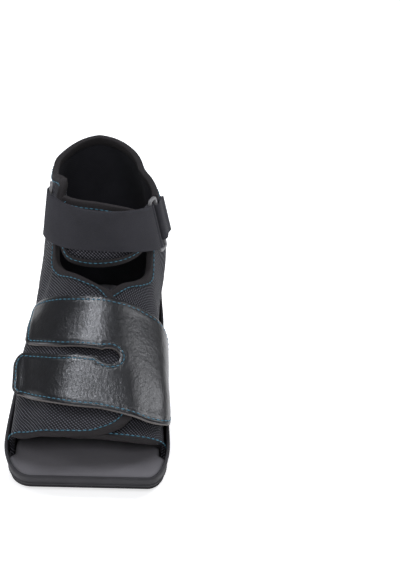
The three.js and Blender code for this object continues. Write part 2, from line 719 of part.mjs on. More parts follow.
function vampStrap() {
  const across = 5;
  const strapEdge = (name, turn) => read(STRAP, 'turn', name, turn);
  const slotEdge = (name, turn) => read(SLOT, 'turn', name, turn);
  const span = (from, to) => {
    const cells = [];
    for (let j = 0; j <= across; j += 1) {
      cells.push({ turn: mix(from.turn, to.turn, j / across), y: mix(from.y, to.y, j / across) });
    }
    return cells;
  };
  const bodySteps = 11;
  const start = STRAP[0].turn;
  const rearBody = [];
  const frontBody = [];
  for (let i = 0; i <= bodySteps; i += 1) {
    const turn = mix(start, KEYHOLE_TURN, i / bodySteps);
    const draw = cornerDraw(start - turn, ANCHOR_TURNS, STRAP_CORNER);
    const middle = { turn, y: KEYHOLE_Y };
    rearBody.push(span({ turn, y: strapEdge('rear', turn) - draw }, middle));
    frontBody.push(span(middle, { turn, y: strapEdge('front', turn) + draw }));
  }
  // One finger, in rows from the keyhole to its end. Each row runs from the slot to the outer edge.
  const finger = ({ outer, slot }, name, sign) => {
    const rows = [];
    const holeEnd = KEYHOLE_TURN - KEYHOLE_TURNS;
    const holeSteps = 6;
    for (let i = 1; i <= holeSteps; i += 1) {
      const turn = mix(KEYHOLE_TURN, holeEnd, i / holeSteps);
      const round = (2 * i) / holeSteps - 1;
      const hole = KEYHOLE_Y + sign * KEYHOLE_RADIUS * Math.sqrt(1 - round * round);
      const straight = slotEdge(name, turn);
      const edge = i <= holeSteps / 2 ? hole : sign * Math.max(sign * hole, sign * straight);
      rows.push(span({ turn, y: edge }, { turn, y: strapEdge(name, turn) }));
    }
    const steps = 12;
    for (let i = 1; i <= steps; i += 1) {
      const s = i / steps;
      const share = mix(s, s * (2 - s), FINGER_CROWDING);
      const inTurn = mix(holeEnd, slot.end, share);
      const outTurn = mix(holeEnd, outer.end, share);
      const inDraw = cornerDraw(inTurn - slot.end, slot.turns, slot.depth);
      const outDraw = cornerDraw(outTurn - outer.end, outer.turns, outer.depth);
      const inside = { turn: inTurn, y: slotEdge(name, inTurn) + sign * inDraw };
      const outside = { turn: outTurn, y: strapEdge(name, outTurn) - sign * outDraw };
      rows.push(span(inside, outside));
    }
    return rows;
  };
  const rear = [...rearBody, ...finger(REAR_FINGER, 'rear', 1).map((row) => row.reverse())];
  const front = [...frontBody, ...finger(FRONT_FINGER, 'front', -1)];
  const grids = [rear, front];
  const triangles = [];
  const top = (c) => leatherPoint(c.turn, c.y, LEATHER_THICK);
  const low = (c) => leatherPoint(c.turn, c.y, 0);
  grids.forEach((grid, g) => {
    const outer = grid.map((row) => row.map(top));
    const inner = grid.map((row) => row.map(low));
    const last = grid.length - 1;
    for (let i = 0; i < last; i += 1) {
      for (let j = 0; j < across; j += 1) {
        quad(triangles, outer[i][j], outer[i][j + 1], outer[i + 1][j + 1], outer[i + 1][j]);
        quad(triangles, inner[i][j], inner[i + 1][j], inner[i + 1][j + 1], inner[i][j + 1]);
      }
      const rearWall = g === 0 || i >= bodySteps;
      const frontWall = g === 1 || i >= bodySteps;
      if (rearWall) {
        quad(triangles, outer[i][0], outer[i + 1][0], inner[i + 1][0], inner[i][0]);
      }
      if (frontWall) {
        quad(triangles, outer[i][across], inner[i][across], inner[i + 1][across], outer[i + 1][across]);
      }
    }
    for (let j = 0; j < across; j += 1) {
      quad(triangles, outer[0][j], inner[0][j], inner[0][j + 1], outer[0][j + 1]);
      quad(triangles, outer[last][j], outer[last][j + 1], inner[last][j + 1], inner[last][j]);
    }
  });
  return solidFrom(mirrored(triangles));
}

// Ankle band and pad: the band is one ribbon. Its free end lies at the medial ring, it runs round the
// front to the lateral ring, folds round the bar and comes back underneath to the medial ring.
function bandFrontY(z) {
  return BAND_FRONT.y + (z - BAND_FRONT.z) * BAND_FRONT.slope;
}

function turnAtHeight(side, y, z) {
  const base = sole('floor', y) + SEAT;
  const top = side < 0 ? arch('lateral', y) : arch('medial', y);
  const share = Math.min(0.98, (z - base) / (top - base));
  return Math.asin(share ** (archForm(side < 0 ? 'lateralSquare' : 'medialSquare', y) / 2)) / DEGREE;
}

function quarterPoint(side, y, z, lift) {
  const turn = turnAtHeight(side, y, z);
  return upperPoint(side, y, turn).addScaledVector(upperNormal(side, y, turn), lift);
}

const BAR_HALF = RING_BAR / 2 + RING_CLEARANCE;

// Frame of a ring: its plane is set so that the tab behind it lies on the quarter.
function ringFrame({ side, y, z }) {
  const outer = (along, z0) => quarterPoint(side, along, z0, MESH_THICK + TAPE_GAP + TAPE_WALL);
  const high = z + TAB_HALF;
  const low = z - TAB_HALF;
  const tabEnd = y + TAB_LENGTH;
  const up = outer(y + TAB_LENGTH / 2, high).sub(outer(y + TAB_LENGTH / 2, low)).normalize();
  const run = outer(tabEnd, z).sub(outer(y, z)).normalize();
  const out = new THREE.Vector3().crossVectors(run, up).multiplyScalar(side).normalize();
  const along = new THREE.Vector3().crossVectors(up, out).multiplyScalar(side).normalize();
  let height = -1e9;
  for (let i = 0; i <= 8; i += 1) {
    for (let j = 0; j <= 8; j += 1) {
      const placeY = mix(y - RING_REACH - SEAT_MARGIN, tabEnd, i / 8);
      const place = outer(placeY, mix(low - SEAT_MARGIN, high + SEAT_MARGIN, j / 8));
      height = Math.max(height, place.dot(out));
    }
  }
  height += SEAT + BAND_THICK + BAR_HALF;
  const rear = outer(y, z);
  rear.addScaledVector(out, height - rear.dot(out));
  const front = rear.clone().addScaledVector(along, -RING_REACH);
  return { rear, front, up, along, out };
}

const RINGS = { lateral: ringFrame(RING_SEATS.lateral), medial: ringFrame(RING_SEATS.medial) };

function barPoint(frame, z) {
  return frame.front.clone().addScaledVector(frame.up, (z - frame.front.z) / frame.up.z);
}

function flattened(v) {
  return new THREE.Vector3(v.x, v.y, 0).normalize();
}

// Point of the band: angle from the front, height, and lift from its outer face. Past the bars it
// goes straight on in the plane of the ring.
function bandPoint(angle, z, lift) {
  const reach = BAND_THICK + BAR_HALF;
  const left = barPoint(RINGS.lateral, z).addScaledVector(flattened(RINGS.lateral.out), reach);
  const right = barPoint(RINGS.medial, z).addScaledVector(flattened(RINGS.medial.out), reach);
  const sine = Math.sin(BAND_ANGLE * DEGREE);
  const front = bandFrontY(z);
  const ry = ((left.y + right.y) / 2 - front) / (1 - Math.cos(BAND_ANGLE * DEGREE));
  const rx = (right.x - left.x) / 2 / sine;
  const sway = (right.y - left.y) / 2 / sine;
  const capped = Math.min(BAND_ANGLE, Math.max(-BAND_ANGLE, angle));
  const a = capped * DEGREE;
  const x = (left.x + right.x) / 2 + rx * Math.sin(a);
  const y = front + ry - ry * Math.cos(a) + sway * Math.sin(a);
  const normal = flattened({ x: ry * Math.sin(a) + sway * Math.cos(a), y: -rx * Math.cos(a) });
  const frame = angle < 0 ? RINGS.lateral : RINGS.medial;
  const atRing = smooth(RING_BLEND_ANGLE, BAND_ANGLE, Math.abs(angle));
  const out = flattened(normal.lerp(flattened(frame.out), atRing));
  const past = (Math.abs(angle) - Math.abs(capped)) * BAND_MM_PER_DEGREE;
  return new THREE.Vector3(x, y, z).addScaledVector(out, lift).addScaledVector(flattened(frame.along), past);
}

// A ribbon: two lists of matching points in (place along, lift), carried between a lower and an
// upper edge.
function ribbon(outer, inner, lower, upper) {
  const corner = (edge, list) => list.map((q) => edge(q.a, q.b));
  const loops = [corner(lower, outer), corner(upper, outer), corner(upper, inner), corner(lower, inner)];
  const triangles = [];
  const last = outer.length - 1;
  loops.forEach((loop, k) => {
    const next = loops[(k + 1) % loops.length];
    for (let i = 0; i < last; i += 1) {
      quad(triangles, loop[i], loop[i + 1], next[i + 1], next[i]);
    }
  });
  const [a, b, c, d] = loops;
  quad(triangles, a[0], b[0], c[0], d[0]);
  quad(triangles, a[last], d[last], c[last], b[last]);
  return triangles;
}

function facingOut(triangles) {
  let volume = 0;
  for (const [a, b, c] of triangles) {
    volume += a.dot(b.clone().cross(c));
  }
  return volume < 0 ? mirrored(triangles) : triangles;
}

function ankleBand() {
  const t = BAND_THICK;
  const bar = -t - BAR_HALF;
  const upperSide = [];
  const lowerSide = [];
  const add = (a, middle, flip) => {
    upperSide.push({ a, b: middle + (flip * t) / 2 });
    lowerSide.push({ a, b: middle - (flip * t) / 2 });
  };
  const loop = (sign, flip) => {
    const parts = 8;
    for (let i = 1; i < parts; i += 1) {
      const angle = mix(90, -90, i / parts) * DEGREE;
      const place = (radius) => ({
        a: sign * (BAND_ANGLE + (radius * Math.cos(angle)) / BAND_MM_PER_DEGREE),
        b: bar + radius * Math.sin(angle),
      });
      const wide = place(BAR_HALF + t);
      const tight = place(BAR_HALF);
      upperSide.push(flip > 0 ? wide : tight);
      lowerSide.push(flip > 0 ? tight : wide);
    }
  };
  const topPly = -t / 2;
  const underPly = -1.5 * t - PLY_GAP;
  const insidePly = -2 * BAR_HALF - 1.5 * t;
  const tailPly = -2.5 * t - 2 * PLY_GAP;
  const steps = 28;
  for (let i = 0; i <= steps; i += 1) {
    add(mix(FREE_END_ANGLE, -BAND_ANGLE, i / steps), topPly, 1);
  }
  loop(-1, 1);
  for (let i = 0; i <= steps; i += 1) {
    const a = mix(-BAND_ANGLE, BAND_ANGLE, i / steps);
    const sunk = mix(insidePly, underPly, smooth(-BAND_ANGLE, -BAND_ANGLE + UNDER_PLY_DEGREES, a));
    const raised = smooth(FREE_END_ANGLE, BAND_ANGLE - CROSSING_END_DEGREES, a);
    add(a, mix(sunk, topPly, raised), -1);
  }
  loop(1, -1);
  const tailSteps = 4;
  for (let i = 0; i <= tailSteps; i += 1) {
    const s = i / tailSteps;
    const a = mix(BAND_ANGLE, BAND_ANGLE - TAIL_DEGREES, s);
    add(a, mix(insidePly, tailPly, smooth(0, 1, s)), 1);
  }
  const edge = (name) => (a, b) => bandPoint(a, read(BAND, 'angle', name, a), b);
  return solidFrom(facingOut(ribbon(upperSide, lowerSide, edge('low'), edge('high'))));
}

// Pad grid: the outermost cells are as wide as the tape that covers them.
const PAD_FACE = -2 * BAND_THICK - PLY_GAP - SEAT - TAPE_GAP - TAPE_WALL;

function padGrid() {
  const columns = 18;
  const rows = 5;
  const margin = TAPE_WIDTH * PAD_DEGREES_PER_MM;
  const first = PAD[0].angle;
  const last = PAD[PAD.length - 1].angle;
  const angles = [first];
  for (let i = 0; i <= columns; i += 1) {
    angles.push(mix(first + margin, last - margin, i / columns));
  }
  angles.push(last);
  return angles.map((angle, i) => {
    const low = read(PAD, 'angle', 'low', angle);
    const high = read(PAD, 'angle', 'high', angle);
    const hem = Math.min(TAPE_WIDTH, (high - low) * PAD_MARGIN_SHARE);
    const heights = [low];
    for (let j = 0; j <= rows; j += 1) {
      heights.push(mix(low + hem, high - hem, j / rows));
    }
    heights.push(high);
    return heights.map((z, j) => {
      const onEdge = i === 0 || i === angles.length - 1 || j === 0 || j === heights.length - 1;
      return { angle, z, thick: onEdge ? PAD_THICK * PAD_EDGE_SHARE : PAD_THICK };
    });
  });
}

function padPoint(cell, side, extra) {
  const middle = PAD_FACE - PAD_THICK / 2;
  return bandPoint(cell.angle, cell.z, middle + side * (cell.thick / 2 + extra));
}

function anklePad() {
  const grid = padGrid();
  const face = (side) => grid.map((line) => line.map((cell) => padPoint(cell, side, 0)));
  return solidFrom(facingOut(panel(face(1), face(-1))));
}

// Tape folded round the whole edge of the pad.
function padTape() {
  const grid = padGrid();
  const lastI = grid.length - 1;
  const lastJ = grid[0].length - 1;
  const border = [];
  for (let i = 0; i < lastI; i += 1) {
    border.push([i, 0]);
  }
  for (let j = 0; j < lastJ; j += 1) {
    border.push([lastI, j]);
  }
  for (let i = lastI; i > 0; i -= 1) {
    border.push([i, lastJ]);
  }
  for (let j = lastJ; j > 0; j -= 1) {
    border.push([0, j]);
  }
  const clamp = (value, last) => Math.min(last - 1, Math.max(1, value));
  const sections = border.map(([i, j]) => {
    const edge = grid[i][j];
    const inner = grid[clamp(i, lastI)][clamp(j, lastJ)];
    const beyond = (mm) => {
      const from = padPoint(inner, 0, 0);
      const to = padPoint(edge, 0, 0);
      const out = to.clone().sub(from).normalize().multiplyScalar(mm);
      return (side, extra) => padPoint(edge, side, extra).add(out);
    };
    const inside = beyond(TAPE_GAP);
    const nose = beyond(TAPE_GAP + TAPE_WALL);
    const wall = TAPE_GAP + TAPE_WALL;
    return [
      padPoint(inner, 1, wall),
      inside(1, wall),
      nose(1, -PAD_NOSE_ROUND),
      nose(-1, -PAD_NOSE_ROUND),
      inside(-1, wall),
      padPoint(inner, -1, wall),
      padPoint(inner, -1, TAPE_GAP),
      inside(-1, TAPE_GAP),
      inside(1, TAPE_GAP),
      padPoint(inner, 1, TAPE_GAP),
    ];
  });
  return solidFrom(facingOut(channel(sections, true)));
}

// Rectangular ring between the band's loop and the tab's loop.
function ring(frame, side) {
  const half = RING_BAR / 2;
  const shape = roundedRectangle(-half, RING_REACH + half, RING_LENGTH / 2, RING_CORNER);
  shape.holes.push(roundedRectangle(half, RING_REACH - half, RING_LENGTH / 2 - RING_BAR, RING_HOLE_CORNER));
  const geometry = new THREE.ExtrudeGeometry(shape, {
    depth: RING_BAR - 2 * RING_BEVEL,
    bevelEnabled: true,
    bevelSize: RING_BEVEL,
    bevelOffset: -RING_BEVEL,
    bevelThickness: RING_BEVEL,
    bevelSegments: 1,
    curveSegments: 3,
  });
  geometry.translate(0, 0, -(RING_BAR - 2 * RING_BEVEL) / 2);
  geometry.deleteAttribute('uv');
  geometry.deleteAttribute('normal');
  const up = frame.up.clone().multiplyScalar(side);
  const basis = new THREE.Matrix4().makeBasis(frame.along, up, frame.out);
  basis.setPosition(frame.front);
  geometry.applyMatrix4(basis);
  const welded = mergeVertices(geometry, 1e-4);
  welded.computeVertexNormals();
  return welded;
}

function roundedRectangle(x0, x1, halfHeight, radius) {
  const shape = new THREE.Shape();
  const y0 = -halfHeight;
  const y1 = halfHeight;
  shape.moveTo(x0 + radius, y0);
  shape.lineTo(x1 - radius, y0);
  shape.quadraticCurveTo(x1, y0, x1, y0 + radius);
  shape.lineTo(x1, y1 - radius);
  shape.quadraticCurveTo(x1, y1, x1 - radius, y1);
  shape.lineTo(x0 + radius, y1);
  shape.quadraticCurveTo(x0, y1, x0, y1 - radius);
  shape.lineTo(x0, y0 + radius);
  shape.quadraticCurveTo(x0, y0, x0 + radius, y0);
  return shape;
}

// Tab of webbing folded round the rear bar of a ring, its two plies lying on the quarter.
function ringTab(frame) {
  const t = BAND_THICK;
  const wide = [];
  const tight = [];
  const parts = 8;
  for (let i = 0; i <= parts; i += 1) {
    const angle = mix(90, 270, i / parts) * DEGREE;
    const place = (radius) => ({ a: radius * Math.cos(angle), b: radius * Math.sin(angle) });
    wide.push(place(BAR_HALF + t));
    tight.push(place(BAR_HALF));
  }
  const under = -BAR_HALF - t;
  const over = under + 2 * t + PLY_GAP;
  const near = TAB_LENGTH * TAB_FLAT_FROM;
  const outer = [{ a: TAB_LENGTH, b: over }, { a: near, b: over }, ...wide, { a: TAB_LENGTH, b: under }];
  const inner = [
    { a: TAB_LENGTH, b: over - t },
    { a: near, b: over - t },
    ...tight,
    { a: TAB_LENGTH, b: under + t },
  ];
  const place = (height) => (a, b) => frame.rear.clone()
    .addScaledVector(frame.along, a)
    .addScaledVector(frame.out, b)
    .addScaledVector(frame.up, height);
  return solidFrom(facingOut(ribbon(outer, inner, place(-TAB_HALF), place(TAB_HALF))));
}

const FABRIC = { roughness: 0.9, metalness: 0 };
const MATERIALS = {
  rubber: new THREE.MeshStandardMaterial({ color: 0x2b2a2c, roughness: 0.8, metalness: 0 }),
  foam: new THREE.MeshStandardMaterial({ color: 0x47454a, roughness: 0.9, metalness: 0 }),
  mesh: new THREE.MeshStandardMaterial({ color: 0x1b1b1e, ...FABRIC }),
  tape: new THREE.MeshStandardMaterial({ color: 0x3a3739, ...FABRIC }),
  leather: new THREE.MeshStandardMaterial({ color: 0x141416, roughness: 0.42, metalness: 0 }),
  webbing: new THREE.MeshStandardMaterial({ color: 0x333338, ...FABRIC }),
  plastic: new THREE.MeshStandardMaterial({ color: 0x3f3e3e, roughness: 0.45, metalness: 0 }),
};

const shoe = new THREE.Group();
shoe.name = 'post_op_shoe';

function addPiece(name, geometry, material) {
  const mesh = new THREE.Mesh(geometry, material);
  mesh.name = name;
  shoe.add(mesh);
}

const lateralRibs = ribsFromTable(-1, LATERAL_RIBS, 38);
const medialRibs = ribsFromTable(1, MEDIAL_RIBS, 32);
const backRibs = heelRibs(20);

addPiece('outsole', outsole(), MATERIALS.rubber);
addPiece('footbed', footbed(), MATERIALS.foam);
addPiece('lateral_quarter', upperPanel(-1, lateralRibs, 9), MATERIALS.mesh);
addPiece('medial_quarter', upperPanel(1, medialRibs, 9), MATERIALS.mesh);
addPiece('heel_counter', heelPanel(backRibs, 6), MATERIALS.mesh);
addPiece('lateral_binding', edgeTape(lateralRibs, (q) => lapLift(-1, q.turn), true), MATERIALS.tape);
addPiece('medial_binding', edgeTape(medialRibs, () => 0, false), MATERIALS.tape);
addPiece('heel_binding', edgeTape(backRibs, () => 0, true), MATERIALS.tape);
addPiece('vamp_strap', vampStrap(), MATERIALS.leather);
addPiece('ankle_pad', anklePad(), MATERIALS.mesh);
addPiece('pad_binding', padTape(), MATERIALS.tape);
addPiece('ankle_strap', ankleBand(), MATERIALS.webbing);
addPiece('lateral_ring', ring(RINGS.lateral, -1), MATERIALS.plastic);
addPiece('medial_ring', ring(RINGS.medial, 1), MATERIALS.plastic);
addPiece('lateral_ring_tab', ringTab(RINGS.lateral), MATERIALS.webbing);
addPiece('medial_ring_tab', ringTab(RINGS.medial), MATERIALS.webbing);

export default shoe;
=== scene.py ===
import math
from functools import partial

import bmesh
import bpy
import numpy as np
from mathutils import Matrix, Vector


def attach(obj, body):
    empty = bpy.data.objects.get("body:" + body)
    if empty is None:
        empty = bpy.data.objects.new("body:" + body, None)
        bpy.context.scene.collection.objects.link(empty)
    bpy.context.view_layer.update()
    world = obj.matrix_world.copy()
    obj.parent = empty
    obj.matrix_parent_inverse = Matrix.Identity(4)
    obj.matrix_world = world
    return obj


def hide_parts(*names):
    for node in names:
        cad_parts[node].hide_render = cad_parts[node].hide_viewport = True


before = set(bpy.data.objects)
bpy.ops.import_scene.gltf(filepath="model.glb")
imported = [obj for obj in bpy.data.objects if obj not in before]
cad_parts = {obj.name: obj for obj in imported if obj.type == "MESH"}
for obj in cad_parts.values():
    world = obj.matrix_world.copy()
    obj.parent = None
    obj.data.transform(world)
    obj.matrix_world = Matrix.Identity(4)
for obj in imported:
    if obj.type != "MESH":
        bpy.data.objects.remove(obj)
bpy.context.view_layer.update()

SCENE = bpy.context.scene
MM = 0.001

# Sizes in millimetres and angles in degrees, as in the solid model.
TOE_Y = -132
HEEL_CENTRE_Y = 91
TOE_SKEW = 0.05
TOE_SKEW_END_Y = -40
CORNER_LENGTH = 32
CORNER_LATERAL = 18
CORNER_MEDIAL = 14
RIM_WALL = 2.2
SOLE_EDGE_ROUND = 3
SOLE_DRAFT = 4.2
SEAT = 0.35
BED_GAP = 1.2
DISH_DEPTH = 0.6
DISH_Y = (-120, 40)
MESH_THICK = 2.4
UPPER_INSET = 5.5
LAP_LIFT = 4.6
LAP_TURNS = (50, 78)
SEAM_Y = 58
SEAM_GAP = 0.5
HEEL_ARC = 57.8
SWELL_END_TURN = 70
PINCH_END_TURN = 54
PINCH_LEAN = 1.5
ANKLE_LEAN = 0.7
ANKLE_Y = (8, 40)
TAPE_WIDTH = 5.2
TAPE_WALL = 0.5
TAPE_GAP = 0.3
TAPE_TOP = MESH_THICK + TAPE_GAP + TAPE_WALL
LEATHER_THICK = 2.2
LEATHER_LIFT = 3.2
LEATHER_RAISE = 5.2
LIFT_TURNS = (38, 92)
SETTLE_TURNS = (112, 150)
SIDE_RAISE = 1.5
BOW_TURNS = (122, 146)
BOW_END_TURNS = (148, 163)
TIP_RAISE = 5.5
TIP_FROM_TURN = 54
TIP_FULL_TURN = 38
REAR_TIP_SHARE = 0.3
REAR_TIP_Y = (-50, -25)
KEYHOLE_TURN = 105
KEYHOLE_Y = -62.5
KEYHOLE_RADIUS = 5.6
KEYHOLE_TURNS = 14
STRAP_CORNER = 7
ANCHOR_TURNS = 9
PAD_THICK = 4.6
BAND_THICK = 1.1
BAND_ANGLE = 78
MM_PER_DEGREE = 0.65
BAND_FRONT_Y = 5
BAND_FRONT_Z = 100
BAND_LEAN = 0.34
FREE_END = 5
RING_BLEND = 16
UNDER_PLY = 14
CROSSING_END = 0.5
BAND_TAIL = 12
PLY_GAP = 0.4
RING_BAR = 2
RING_CLEARANCE = 0.4
RING_REACH = 9
RING_LENGTH = 37
RING_CORNER = 3.2
TAB_LENGTH = 13
TAB_HALF = 12.5
RING_SEATS = {-1: (38, 117.7), 1: (45, 105.2)}
SEAT_MARGIN = 2
SEAT_TOP_SHARE = 0.98
BULGE_ABOVE_RIM = 1
LEAST_TURN = 0.6

# Finer forms and counts that only the scene has. Pairs for the ridge: the strap's front and rear edge.
RIDGE_Y = (-85, -40)
RIDGE_X = (-14, 4)
RIDGE_HEIGHT = (2.2, 1.6)
RIDGE_WIDTH = (22, 14)
FRONT_FLARE = 3
FLARE_Y = (-55, -98)
FLARE_TURNS = (125, 156)
EDGE_DROP = 0.55
EDGE_ROUND = 1.3
SEAM_DEPTH = 0.3
SEAM_WIDTH = 0.55
PILLOW_HEIGHT = 0.15
PILLOW_INSET = 5.2
PILLOW_WIDTH = 1.6
BORDER_STEP = 0.6
NAP_HEIGHT = 0.12
NAP_ALONG = 0.21
NAP_UP = 0.33
NAP_SLOW = 0.17
WALL_OVER_FLOOR = 4
GROOVES = (0.22, 0.55)
BED_NARROWS = (-110, -105.2)
DISH = ((7, 0.5), (14, 1))
CORNER_RUNGS = 25
SIDE_RUNGS = 64
HEEL_RUNGS = 32
HEEL_OPEN = 0.35
THREAD_RADIUS = 0.34
STITCH_PITCH = 3.3
STITCH_LENGTH = 2.1
STITCH_INSET = 2.7
STITCH_LEAN = 0.6
STITCH_SINK = 0.22
STITCH_RISE = 0.2
STITCH_DIVE = 0.35
LINE_STEP = 0.8
LINE_RADIUS = THREAD_RADIUS * 0.7
EDGE_STITCH = 0.75
RIB_PITCH = 1.45
CROSS_PITCH = 0.8
RIB_BEND = 1.2
TAPE_LEAST = 0.4
NOSE = np.radians(np.linspace(80, -80, 9))
NOSE_REACH = 0.8
RIBBON_THIN = 0.32
RIBBON_ROUND = 2.5
RING_SQUARE = 0.55
TAB_DROP = 0.75
PAD_STITCH = 3
PAD_SWELL = 0.9
PAD_GRID = (61, 23)
PAD_EDGE = 0.5
PAD_BODY = 0.82
PAD_EDGE_ROWS = 5
PAD_HELD_ROWS = 3
CLOTH_STEPS = 20
AIR_PRESSURE = 4
CLOTH_MASS = 0.2
RIB_MARKS = 97
QUARTER_ROWS = 70
HEEL_ROWS = 60
STRAP_ACROSS = 27
BODY_ROWS = 70
BODY_EASE = 1.3
KEYHOLE_ROWS = 25
FINGER_ROWS = 80
FINGER_EASE = 0.8

# Sections of the sole and the bed: inset, and height from the underside, groove, rim or bed.
UNDER_ROUND = ((SOLE_EDGE_ROUND, 0), (1.6, 0.25), (0.6, 0.8), (0.1, 1.6))
GROOVE = ((0, -0.9), (0.1, -0.5), (0.6, -0.25), (0.6, 0.25), (0.1, 0.5), (0, 0.9))
RIM_ROUND = ((0, -1.2), (0.15, -0.5), (0.5, -0.12), (1, 0), (1.5, -0.08), (2, -0.4), (RIM_WALL, -1.2))
BED_ROUND = ((0, -2.4), (0.25, -1.5), (0.8, -0.75), (1.6, -0.3), (3, -0.05))


def table(names, rows):
    return dict(zip(names.split(), np.array(rows, float).T))


SOLE = table("y lateral medial rim bed floor under", [
    (-133, 51.0, 50.3, 12.6, 12.4, 7.2, 3.8),
    (-122, 51.0, 50.3, 14.5, 13.4, 7.4, 2.0),
    (-110, 51.0, 50.3, 17.5, 14.4, 7.8, 0.7),
    (-95, 51.0, 50.0, 21.0, 15.4, 8.4, 0.0),
    (-70, 50.2, 49.0, 24.0, 17.2, 9.4, 0.0),
    (-30, 48.4, 47.4, 27.0, 20.0, 11.6, 0.0),
    (20, 45.4, 45.4, 29.0, 22.8, 13.4, 0.0),
    (60, 42.6, 44.4, 31.0, 23.8, 14.2, 0.0),
    (91, 41.0, 43.0, 33.0, 24.4, 14.6, 0.0),
    (112, 41.0, 43.0, 35.0, 24.8, 14.8, 0.6),
    (134, 41.0, 43.0, 37.0, 25.2, 15.0, 4.0),
])
ARCH = table("y crown lateral medial lateral_square medial_square lateral_bulge medial_bulge", [
    (-122, 3, 27, 27, 4.6, 3.2, 0, 0),
    (-108, 3, 31, 31, 4.6, 3.1, 0, 0),
    (-92, 3, 38, 38, 4, 2.9, 1, 2),
    (-75, 3, 47, 47, 3.5, 2.7, 2, 5),
    (-50, 4, 59, 59, 3.4, 2.5, 3, 6),
    (-25, 5, 70, 70, 2.9, 2.4, 3, 6),
    (-8, 6, 79, 79, 2.5, 2.3, 1, 5),
    (8, 6, 93, 93, 2.2, 2.2, -1, 4),
    (20, 6, 116, 114, 2.1, 2.1, -5, 3),
    (35, 6, 165, 150, 2, 2, -9.5, 3),
    (47, 5.5, 188, 166, 2, 2, -11, 4.5),
    (60, 4.5, 197, 176, 2, 2, -8, 9),
    (74, 3, 190, 178, 2, 2, -2, 7.5),
    (91, 1, 180, 180, 2, 2, 0, 0.5),
    (149, 1, 186, 186, 2, 2, 0, 0),
])
LATERAL_RIBS = table("foot edge turn", [
    (-95, -98, 12), (-92, -106.5, 32), (-88, -111.5, 58), (-82, -116, 84), (-76, -109.5, 103),
    (-68, -96, 116), (-56, -78, 119), (-42, -54, 116), (-28, -32, 109), (-16, -14, 97), (-6, -2, 80),
    (3, 7, 65), (11, 14.5, 55.5), (18, 19, 53), (25, 23, 52.5), (33, 29, 50), (44, 40, 46),
    (SEAM_Y, SEAM_Y, 39.3),
])
MEDIAL_RIBS = table("foot edge turn", [
    (-99.5, -101.5, 12), (-98, -109.5, 32), (-95, -114.5, 58), (-90, -114, 84), (-82, -109, 97),
    (-71, -92, 100), (-55, -64, 100), (-36, -36, 98), (-21, -17, 91), (-9, -5, 77), (1, 4, 60),
    (10, 14, 47), (18, 21.5, 41.5), (26, 30, 39), (36, 38.5, 39.2), (47, 48, 39.5), (SEAM_Y, SEAM_Y, 40),
])
HEEL_EDGE = table("way turn", [
    (-90.5, 39.3), (-76, 40), (-58, 43), (-36, 44.2), (-16, 45.6), (0, 46), (16, 45.6), (36, 44.2),
    (58, 42.4), (76, 41), (90.5, 40),
])
STRAP = table("turn rear front", [
    (163, -36, -84), (155, -26, -92.5), (140, -18.6, -100.5), (120, -19.3, -102.5), (100, -20.2, -100),
    (80, -17.3, -95), (60, -9.2, -88), (45, -0.8, -81), (35, 5, -77.5),
])
SLOT = table("turn rear front", [
    (95, -59, -65), (86, -56.2, -62.8), (76, -54, -61), (60, -48, -54.5), (45, -40, -47.5), (35, -35, -43),
])
# Finger ends: end turn, rounding in turn and rounding along the shoe, at the outer and the slot edge.
REAR_FINGER = ((37.5, 5, 7), (44, 5, 6))
FRONT_FINGER = ((39.5, 4, 6), (39.5, 8, 13))
PAD = table("angle low high", [
    (-51, 106, 127), (-47, 99, 130.5), (-38, 93, 130), (-20, 90.5, 129), (0, 90, 128), (24, 91, 125),
    (44, 94, 121.5), (55, 98, 118.5), (60, 103, 114),
])
BAND = table("angle low high", [
    (-90, 103.5, 135), (-40, 101.5, 128.5), (0, 101, 125), (40, 97, 123), (90, 90, 121),
])


def mix(a, b, t):
    return a + (b - a) * t


def smooth(start, end, value):
    t = np.clip((value - start) / (end - start), 0, 1)
    return t * t * (3 - 2 * t)


def norm(v):
    return np.linalg.norm(v, axis=-1)


def unit(v):
    return v / np.maximum(norm(v)[..., None], 1e-12)


def columns(*parts):
    return np.stack(np.broadcast_arrays(*parts), -1)


def read(tab, key, name, value):
    """Smooth reading of a table column at values of its key column."""
    k, v = tab[key], tab[name]
    if k[0] > k[-1]:
        k, v = k[::-1], v[::-1]
    x = np.clip(value, k[0], k[-1])
    last = len(k) - 1
    i = np.clip(np.searchsorted(k, x) - 1, 0, last - 1)
    before, after = np.maximum(i - 1, 0), np.minimum(i + 2, last)
    span = k[i + 1] - k[i]
    t = (x - k[i]) / span
    slope_a = (v[i + 1] - v[before]) / (k[i + 1] - k[before])
    slope_b = (v[after] - v[i]) / (k[after] - k[i])
    bend = t * (1 - t) ** 2 * span * slope_a - t * t * (1 - t) * span * slope_b
    return mix(v[i], v[i + 1], t * t * (3 - 2 * t)) + bend


sole, arch = partial(read, SOLE, "y"), partial(read, ARCH, "y")


def rows_between(tab, count):
    """Smooth rows of a table of ribs at even steps of its row number."""
    size = len(tab["foot"])
    place = np.linspace(0, size - 1, count)
    i = np.minimum(place.astype(int), size - 2)
    t = place - i
    made = {}
    for name, v in tab.items():
        p0, p1, p2, p3 = v[np.maximum(i - 1, 0)], v[i], v[i + 1], v[np.minimum(i + 2, size - 1)]
        made[name] = 0.5 * (2 * p1 + (p2 - p0) * t + (2 * p0 - 5 * p1 + 4 * p2 - p3) * t ** 2
                            + (3 * p1 - p0 - 3 * p2 + p3) * t ** 3)
    return made


